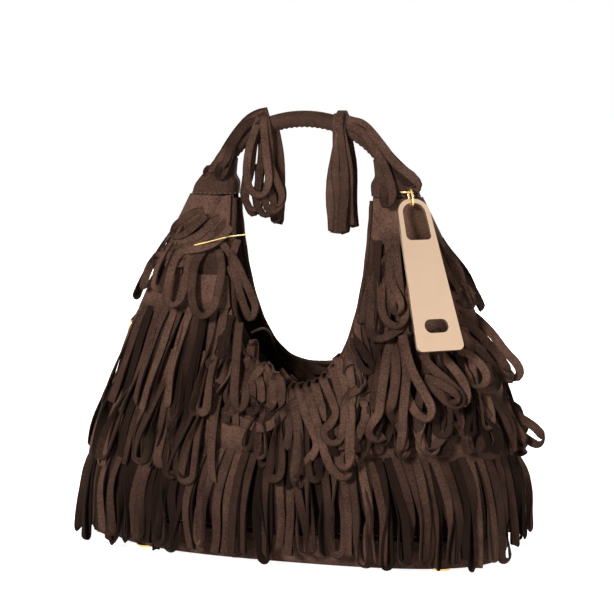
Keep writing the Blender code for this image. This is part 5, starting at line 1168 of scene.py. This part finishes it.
handleLook = {
    "leftBunch": (
        (0.0, 6.2, ((-35.4, -3, 356.6), (-36, -9, 349.6), (-40, -13, 336.8), (-43.3, -15, 321.5),
            (-44, -16, 306.8), (-41.1, -16, 295.1), (-34.6, -16, 290.3), (-28.2, -16, 292.3),
            (-25.5, -15, 302.1), (-27.1, -15, 318), (-29.4, -13, 333.8), (-31.6, -10, 348.4),
            (-33.1, -2, 356.6))),
        (0.05, 6.0, ((-33.1, -2, 355.8), (-28.9, -9, 345.9), (-26.5, -10, 331.3), (-25.2, -11, 315.4),
            (-19.7, -12, 302), (-15.2, -12, 289.8), (-18.5, -12, 282.3), (-23.6, -12, 287.2),
            (-26.5, -9, 301.7), (-29.3, -6, 321.3))),
        (0.1, 6.0, ((-37, -6, 345.8), (-40.3, -8, 329.9), (-42.4, -10, 309), (-46, -11, 294.1),
            (-45.7, -12, 284.3), (-40.5, -12, 278.2), (-35.6, -11, 281.9), (-36.2, -9, 296.7),
            (-37.1, -6, 315))),
        (0.1, 6.0, ((-35.1, -4, 345.8), (-34.2, -7, 323.7), (-35.9, -10, 301.7), (-36.6, -12, 286.9),
            (-32.4, -13, 276), (-25.9, -13, 274.9), (-22.4, -12, 282.3), (-26.2, -8, 299.2), (-30, -4, 318.7))),
        (0.05, 6.0, ((-27.6, -3, 348.3), (-25.4, -6, 328.7), (-25.8, -9, 309.1), (-28.8, -12, 294.5),
            (-28.2, -14, 282.3), (-23, -14, 276.8), (-16.9, -13, 281.2), (-15.2, -10, 292.1),
            (-20.3, -6, 306.6))),
        (0.3, 6.4, ((-27.9, 2, 351.9), (-22.8, -2, 338.4), (-19.3, -3, 318.8), (-18.7, -3, 296.6),
            (-19.4, -3, 276.8), (-22.6, -3, 268.6), (-25.9, -1, 272.8), (-25.5, 0, 296.3))),
        (0.4, 6.4, ((-32.4, 4, 351.8), (-28.6, 0, 333.4), (-27.4, 0, 311.2), (-26.1, 0, 290.1),
            (-23.6, 0, 271.5), (-21.6, 2, 267.6), (-21.5, 4, 283.7))),
        (0.35, 6.2, ((-41.6, 0, 343.2), (-45.9, -3, 321), (-48.6, -5, 301.2), (-50, -5, 290),
            (-46.4, -6, 281.4), (-42.5, -6, 274), (-39.2, -4, 278.9), (-42.4, -2, 296.2))),
        (0.5, 6.4, ((-30.8, 7, 349.3), (-26.3, 5, 333.3), (-23.7, 5, 308.5), (-23.1, 5, 283.6),
            (-25.1, 5, 271.1))),
        (0.45, 6.4, ((-35.7, 6, 350.5), (-36.4, 4, 328.3), (-39.1, 4, 300.9), (-40.5, 4, 280.8),
            (-37.6, 3, 274.7))),
    ),
    "leftOuter": (
        (0.15, 6.6, ((-29.5, -3, 356.6), (-34.4, -6, 355), (-41.9, -7, 351.3), (-48.7, -8, 345.2),
            (-56.6, -8, 335.3), (-63.5, -9, 324.7), (-69.5, -9, 316), (-74.1, -9, 310.3), (-79.4, -9, 311.1),
            (-81.8, -8, 307.1), (-78.2, -7, 305.8))),
        (0.45, 6.6, ((-30.8, -5, 354.4), (-37.3, -9, 349.6), (-44.8, -10, 347.1), (-51.3, -10, 340.9),
            (-57.9, -10, 331), (-60.6, -10, 321.1), (-62.9, -11, 314.9))),
        (0.3, 6.4, ((-32.1, 3, 357.4), (-39.6, 2, 355.7), (-47.8, 1, 351.1), (-56, 0, 342.5),
            (-63.6, -1, 331.9), (-70.2, -3, 320.7), (-76.2, -5, 312), (-80.5, -6, 308.2), (-82.5, -6, 302.6),
            (-78.6, -6, 300.8), (-75.6, -5, 303.3))),
        (0.2, 6.2, ((-44.5, -7, 351.9), (-51.6, -9, 343.9), (-59.2, -10, 332.2), (-61.5, -11, 321.1),
            (-64.5, -12, 314.9), (-68.5, -12, 312.4), (-70.2, -12, 306.8), (-67.2, -12, 303.1),
            (-63.6, -11, 308.7), (-63.8, -9, 314.8))),
        (0.25, 6.2, ((-57, 3, 341.8), (-65.3, 2, 330.5), (-72, 0, 319.3), (-77.6, -3, 309.4),
            (-81.3, -4, 304.4), (-81.3, -4, 300.6), (-77, -3, 301.3))),
    ),
    "rightOuter": (
        (0.1, 7.0, ((32.8, -4, 352.3), (41.4, -8, 350), (49.2, -9, 348.2), (57.2, -11, 342.3),
            (67.5, -12, 330.4), (77.7, -13, 318), (89.1, -14, 309.2), (96.8, -14, 302.1), (96.9, -13, 297.3),
            (90.9, -11, 297.7), (80.5, -9, 308.2), (69.8, -6, 320))),
        (0.35, 7.0, ((32.4, 2, 351), (41.8, 0, 349.2), (52.4, -2, 344.5), (61.7, -4, 334.3), (72.5, -7, 322.5),
            (84.2, -9, 311.9), (93.1, -10, 305.5), (92.9, -9, 300), (83.5, -6, 304.5), (72.8, -3, 316.3))),
        (0.05, 6.8, ((36.1, -7, 347.5), (44.4, -10, 344.6), (52.2, -11, 339.3), (60.6, -12, 329.2),
            (67.8, -13, 317.9), (73.3, -15, 306), (77.2, -18, 294.2), (76.5, -20, 285.9), (72.2, -20, 284),
            (69.5, -17, 290.4), (70.1, -12, 301))),
        (0.4, 6.8, ((36, -2, 346.2), (45.6, -5, 344.5), (54.7, -6, 336.2), (65.3, -8, 324.3), (74.3, -9, 315.4),
            (83.2, -10, 305.9), (89.7, -11, 298.8))),
        (0.3, 6.4, ((40.2, -8, 345.2), (49.7, -11, 342.9), (57.5, -12, 333.4), (65.3, -13, 321.4),
            (71.5, -13, 310.7))),
    ),
}


endRing = {"height": 181 * mm, "width": 15 * mm, "drop": 12 * mm, "wire": 1.3}      # wire in mm
endTab = {"lift": 0.4, "wall": 1.0, "play": 0.35, "long": 8, "half": 4.5}            # in mm


# Where an end ring hangs: the point on the skin, the way out and the way up there.
def endFrame(sign):
    u = np.array([0.25 if sign > 0 else 0.75])
    level = levelAt(u, np.array([endRing["height"]]))
    _, alongV, normal = skinFrame(u, level)
    return skinBare(u, level)[0], normal[0], unit(alongV)[0]


# D shape: a straight bar and half an oval under it.
def endRingPiece(sign, side):
    spot, out, up = endFrame(sign)
    bar = spot + out * (endTab["lift"] + endTab["wall"] + endTab["play"] + endRing["wire"]) * mm
    half, drop = endRing["width"] / 2, endRing["drop"]
    t = np.linspace(0, math.pi, 33)
    bow = np.stack([-half * np.cos(t), -drop * (0.25 + 0.75 * np.sin(t))], -1)
    corner = np.array([[half, -drop * 0.12], [half * 0.93, 0]])
    top = np.stack([np.linspace(half * 0.8, -half * 0.8, 15), np.zeros(15)], -1)
    flat = np.concatenate([bow, corner, top, corner[::-1] * np.array([-1, 1])])
    path = bar + flat[:, :1] * np.array([0, 1.0, 0]) + flat[:, 1:] * up
    ring = tubePiece("endRing" + side, path, endRing["wire"] * mm, 14, closed=True, hint=out)
    return place(ring, goldMetal, "d_ring_" + side.lower(), "d_ring_" + side.lower())


# The ring's tab: a strip up the skin, round the ring's bar and back up on itself.
def endStrap(sign, side):
    spot, out, up = endFrame(sign)
    wall, lift, long = endTab["wall"], endTab["lift"], endTab["long"]
    radius = endRing["wire"] + endTab["play"] + wall / 2
    centre = radius + lift + wall / 2
    t = np.radians(np.linspace(180, 385, 30))
    loop = np.stack([centre + radius * np.cos(t), radius * np.sin(t)], -1)
    inner = np.stack([np.full(8, lift + wall / 2), np.linspace(long, 0.6, 8)], -1)
    backX, backZ = np.linspace(loop[-1, 0], 2 * lift + wall * 1.5, 10), np.linspace(loop[-1, 1] + 0.6, long, 10)
    outer = np.stack([backX, backZ], -1)
    flat = np.concatenate([inner, loop, outer]) * mm
    path = spot + flat[:, :1] * out + flat[:, 1:] * up
    width = np.linspace(-endTab["half"], endTab["half"], 9) * mm
    strap = gridPiece("endStrap" + side, path[:, None] + width[None, :, None] * np.array([0, 1.0, 0]), flip=True)
    thicken(strap, wall * mm, 0)
    return place(strap, suedeSmooth, "bag", "d_ring_tab_" + side.lower())


tagSpot = {
    "down": (0.273, -0.350, -0.896), "eye": (91.0 * mm, -17.5 * mm, 295 * mm), "wire": 0.9 * mm, "play": 0.3 * mm,
    "linkWide": 3.4 * mm, "linkLong": 6.6 * mm, "eyeRadius": 5.6 * mm,
}
tagDown = unit(np.array(tagSpot["down"]))
tagAcross = unit(np.array([-tagDown[1], tagDown[0], 0]))
tagFace = np.cross(tagDown, tagAcross)


# The wire eye is half a circle out of the collar; the link is two half circles joined by straights.
def tagHardware():
    eye = np.array(tagSpot["eye"])
    inward = -unit(tagFace * np.array([1, 1, 0]))
    t = np.linspace(0, math.pi, 41)[:, None]
    bow = eye + tagSpot["eyeRadius"] * (inward * (1 - np.sin(t)) + tagAcross * np.cos(t))
    place(tubePiece("tagEye", bow, tagSpot["wire"], 12), goldMetal, "bag", "tag_loop")
    top = eye - tagDown * (2 * tagSpot["wire"] + tagSpot["play"])
    wide, long = tagSpot["linkWide"], tagSpot["linkLong"]
    straight = long - wide
    t = np.linspace(-math.pi / 2, math.pi / 2, 25)[:, None]
    lower = tagFace * wide * np.sin(t) + tagDown * (long + straight + wide * np.cos(t))
    upper = -tagFace * wide * np.sin(t) + tagDown * (long - straight - wide * np.cos(t))
    path = top + np.concatenate([lower, upper])
    link = tubePiece("tagLink", path, tagSpot["wire"], 12, closed=True, hint=tagAcross)
    place(link, goldMetal, "tag_ring", "tag_ring")


tagLook = {
    "long": 125 * mm, "top": 13 * mm, "low": 20 * mm, "thick": 2.6 * mm, "rim": 3.4 * mm, "corner": 4.5 * mm,
    "window": 31 * mm, "windowCorner": 4 * mm, "windowFlare": 1.2 * mm,
    "slotLong": 10 * mm, "slotHigh": 5.5 * mm, "slotUp": 20 * mm, "seat": 0.65 * mm, "edge": 0.4 * mm,
}


# A closed line whose corners are arcs of the given radii, each running between its two sides.
def roundedLine(corners, radii, steps=9):
    points = []
    for i, radius in enumerate(radii):
        corner = np.array(corners[i])
        before, after = unit(corners[i - 1] - corner), unit(corners[(i + 1) % len(corners)] - corner)
        half = math.acos(np.clip(before @ after, -1, 1)) / 2
        centre = corner + unit(before + after) * radius / math.sin(half)
        start = before * radius / math.tan(half) + corner - centre
        stop = after * radius / math.tan(half) + corner - centre
        for k in np.linspace(0, 1, steps):
            turned = start * (1 - k) + stop * k
            points.append(centre + unit(turned) * radius)
    return np.array(points)


# Sheet metal with an arched opening for the link and a plain slot at its foot.
def tagPlate():
    look = tagLook
    top, low, long = look["top"], look["low"], look["long"]
    arch = 0.93     # how nearly the upper corners meet in one arch
    outline = roundedLine(np.array([(-top, 0), (-low, -long), (low, -long), (top, 0)]),
                          (top * arch, look["corner"], look["corner"], top * arch))
    inner, head, foot = top - look["rim"], -look["rim"], -look["rim"] - look["window"]
    wide = inner + look["windowFlare"]
    window = roundedLine(np.array([(-inner, head), (-wide, foot), (wide, foot), (inner, head)]),
                         (inner * arch, look["windowCorner"], look["windowCorner"], inner * arch))
    half, middle = look["slotLong"], -long + look["slotUp"]
    upper, lower = middle + look["slotHigh"], middle - look["slotHigh"]
    slot = roundedLine(np.array([(-half, upper), (-half, lower), (half, lower), (half, upper)]),
                       (look["slotHigh"] * 0.97,) * 4)
    shape = bmesh.new()
    edges = []
    for line in (outline, window, slot):
        ring = [shape.verts.new((x, y, -look["thick"] / 2)) for x, y in line]
        edges += [shape.edges.new((a, b)) for a, b in zip(ring, ring[1:] + ring[:1])]
    filled = bmesh.ops.triangle_fill(shape, use_beauty=True, edges=edges)
    faces = [item for item in filled["geom"] if isinstance(item, bmesh.types.BMFace)]
    grown = bmesh.ops.extrude_face_region(shape, geom=faces)
    lifted = [item for item in grown["geom"] if isinstance(item, bmesh.types.BMVert)]
    bmesh.ops.translate(shape, verts=lifted, vec=(0, 0, look["thick"]))
    bmesh.ops.recalc_face_normals(shape, faces=shape.faces)
    foot = np.array(tagSpot["eye"]) + tagDown * (2 * tagSpot["linkLong"] - 2 * tagSpot["wire"] - tagSpot["play"])
    up = look["rim"] + tagSpot["wire"] + look["seat"]
    for vert in shape.verts:
        x, y, z = vert.co
        vert.co = foot + tagAcross * x - tagDown * (y + up) + tagFace * z
    mesh = bpy.data.meshes.new("tagPlate")
    shape.to_mesh(mesh)
    shape.free()
    plate = bpy.data.objects.new("tagPlate", mesh)
    bpy.context.collection.objects.link(plate)
    mesh.shade_smooth()
    mesh.set_sharp_from_angle(angle=math.radians(50))
    bevel = plate.modifiers.new("bevel", "BEVEL")
    bevel.width = look["edge"]
    bevel.segments = 2
    bevel.limit_method = "ANGLE"
    bevel.angle_limit = math.radians(50)
    bevel.harden_normals = True
    return place(plate, tagMetal, "tag", "tag")


# The CAD's own solids that show as they are only get a finish.
def carriedNodes():
    gold = ("foot_front_left", "foot_front_right", "foot_back_left", "foot_back_right", "snap_front", "snap_back")
    finishes = dict.fromkeys(gold, goldMetal)
    finishes.update(handle_core=cordCotton, base_board=boardGrey)
    for node, board in finishes.items():
        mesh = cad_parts[node].data
        mesh.materials.clear()
        mesh.materials.append(board.material)


threadLook = {
    "height": 249 * mm, "around": (0.665, 0.75, 0.835), "off": (4.5, 6, 8.5),       # off the skin, in mm
    "radius": 0.6 * mm, "slope": 0.26, "drop": 0.05,
}


# A taut thread round the horn: the hull of the horn's section, grown over the strands, on a slope.
def goldThread():
    around, height = threadLook["around"], threadLook["height"]
    us = np.linspace(around[0], around[-1], 60)
    outside = hang(us, np.full(60, height))
    outside = outside[0] + outside[2] * np.interp(us, around, threadLook["off"])[:, None] * mm
    inner = outside[:, 0].max() + 2 * mm
    inside = np.array([(inner, y, height) for y in np.linspace(outside[0, 1] * -0.8, outside[0, 1] * 0.8, 12)])
    loop = np.concatenate([outside, inside[::int(np.sign(outside[-1, 1] - outside[0, 1]))]])
    centre = loop.mean(0)
    angle = np.linspace(0, 2 * math.pi, 181)[:-1]
    ways = np.stack([np.cos(angle), np.sin(angle), 0 * angle], -1)
    reach = ((loop - centre) @ ways.T).max(0)       # how far the loop's hull reaches each way
    slope = np.gradient(reach, angle)
    side = np.stack([-np.sin(angle), np.cos(angle), 0 * angle], -1)
    path = centre + ways * reach[:, None] + side * slope[:, None]
    x, y = path[:, 0] - centre[0], path[:, 1]
    path[:, 2] = height - 1 * mm + threadLook["slope"] * x - threadLook["drop"] * y
    thread = tubePiece("goldThread", path, threadLook["radius"], 8, closed=True)
    return place(thread, threadMetal, "bag", "thread_loop")


stitchLook = {"length": 3.2 * mm, "gap": 1.1 * mm, "thick": 0.45 * mm, "base": 29 * mm}      # base: the low row


# Short rounded stitches laid end to end along a path, standing on the surface by its normal.
def stitchRow(path, normal):
    length, gap, thick = stitchLook["length"], stitchLook["gap"], stitchLook["thick"]
    run = np.concatenate([[0], np.cumsum(np.linalg.norm(np.diff(path, axis=0), axis=1))])
    starts = np.arange(gap, run[-1] - length, length + gap)
    k = np.linspace(0, 1, 5)
    at = starts[:, None] + length * k[None]
    spot = np.stack([np.interp(at, run, path[:, i]) for i in range(3)], -1)
    out = unit(np.stack([np.interp(at, run, normal[:, i]) for i in range(3)], -1))
    ahead = unit(np.gradient(spot, axis=1))
    side = np.cross(out, ahead)
    turn = np.arange(6) / 6 * 2 * math.pi
    size = thick * np.array([0.15, 0.85, 1, 0.85, 0.15])[None, :, None, None]
    lift = thick * np.array([-0.6, 0.25, 0.4, 0.25, -0.6])[None, :, None]
    turn = turn[None, None, :, None]
    ring = np.cos(turn) * side[:, :, None] + np.sin(turn) * out[:, :, None]
    rings = (spot + out * lift)[:, :, None] + ring * size
    tips = rings[:, (0, -1)].mean(2, keepdims=True) * np.ones((1, 1, 6, 1))
    return np.concatenate([tips[:, :1], rings, tips[:, 1:]], 1)


# Rows of stitches round the collars, under the handle and along the base seam, front and back.
def seamStitches():
    rows = []
    for ring in collarSeams:
        ahead = np.gradient(ring, axis=0)
        out = unit(np.cross(ahead, np.array([0, 0, 1.0])))
        rows.append(stitchRow(ring, out * np.sign((out * (ring - ring.mean(0))).sum(1, keepdims=True))))
    t = np.linspace(0.55, math.pi - 0.55, 200)
    under = handleLine(t)
    inward = unit(np.stack([-np.cos(t) / bagShape["handleSpan"], 0 * t, -np.sin(t) / bagShape["handleRise"]], -1))
    rows.append(stitchRow(under + inward * bagShape["handleRadius"], inward))
    for first, last in ((-0.19, 0.19), (0.31, 0.69)):
        us = np.linspace(first, last, 260)
        point, _, normal, _ = hang(us, np.full_like(us, stitchLook["base"]))
        rows.append(stitchRow(point, normal))
    piece = gridPiece("seamStitches", np.concatenate(rows), wrapColumns=True, weld=True)
    return place(piece, seamThread, "bag")


floorLook = {"size": 14.0, "drop": 0.4 * mm, "paper": (0.86, 0.86, 0.86), "glow": 0.92}


# A wide sheet of white paper that also looks white where it is seen directly.
def makeFloor():
    size = floorLook["size"]
    corners = np.array([[[-size, -size, 0], [size, -size, 0]], [[-size, size, 0], [size, size, 0]]])
    floor = gridPiece("floor", corners - np.array([0, 0, floorLook["drop"]]))
    board = Board("floorPaper", "floor")
    path = board.node("ShaderNodeLightPath")
    direct, mirrored = (Wire(board, path.outputs[ray]) for ray in ("Is Camera Ray", "Is Glossy Ray"))
    seen = board.maths("MAXIMUM", direct, mirrored)
    board.finish(floorLook["paper"], 0.9)
    board.feed(board.shader.inputs["Emission Color"], (1, 1, 1, 1))
    board.feed(board.shader.inputs["Emission Strength"], seen * floorLook["glow"])
    floor.data.materials.append(board.material)


lampLook = {
    "around": 0.025,    # even light from all sides
    "lamps": (("keyLight", (-0.7, -2.0, 1.0), 0.5, 50), ("fillLight", (1.7, -1.0, 0.5), 1.0, 8),
              ("backLight", (0.3, 2.0, 1.0), 1.2, 55)),
}


# Even white light round the bag, white as a backdrop, and three lamps that face it.
def makeLight():
    world = bpy.data.worlds.new("studio")
    bpy.context.scene.world = world
    world.use_nodes = True
    tree = world.node_tree
    back = tree.nodes["Background"]
    back.inputs["Color"].default_value = (1, 1, 1, 1)
    path = tree.nodes.new("ShaderNodeLightPath")
    total = None
    for ray in ("Is Camera Ray", "Is Glossy Ray", "Is Transmission Ray"):
        if total is None:
            total = path.outputs[ray]
            continue
        seen = tree.nodes.new("ShaderNodeMath")
        seen.operation = "MAXIMUM"
        tree.links.new(total, seen.inputs[0])
        tree.links.new(path.outputs[ray], seen.inputs[1])
        total = seen.outputs[0]
    level = tree.nodes.new("ShaderNodeMapRange")
    level.inputs["To Min"].default_value = lampLook["around"]
    level.inputs["To Max"].default_value = 1.0
    tree.links.new(total, level.inputs["Value"])
    tree.links.new(level.outputs["Result"], back.inputs["Strength"])
    for name, spot, size, power in lampLook["lamps"]:
        data = bpy.data.lights.new(name, "AREA")
        data.energy = power
        data.size = size
        lamp = bpy.data.objects.new(name, data)
        lamp.location = spot
        lamp.rotation_euler = (Vector((0, 0, 0.18)) - Vector(spot)).to_track_quat("-Z", "Y").to_euler()
        bpy.context.collection.objects.link(lamp)


sewnBody()
baseTray()
liningBag()
pocketPatch()
mouthRoll("mouthRollFront", False)
mouthRoll("mouthRollBack", True)
rolledHandle()
hornCollar("collarRight", 1, "handle_collar_right")
hornCollar("collarLeft", -1, "handle_collar_left")
print("body sewn")
buildFringe()
placedStrands("handleBunchLeft", handleLook["leftBunch"], ["handle_cover"], "handle_fringe_left")
handleBunch("right", 8)
placedStrands("outerStrandsLeft", handleLook["leftOuter"], ["handle_cover"], "handle_flap_left")
placedStrands("outerStrandsRight", handleLook["rightOuter"], ["handle_cover"], "handle_flap_right")
print("fringe hung")
for sideName, sideSign in (("Right", 1), ("Left", -1)):
    endRingPiece(sideSign, sideName)
    endStrap(sideSign, sideName)
tagHardware()
tagPlate()
goldThread()
carriedNodes()
seamStitches()
print("metal fitted")
makeFloor()
makeLight()
bpy.context.scene.view_settings.view_transform = "Standard"
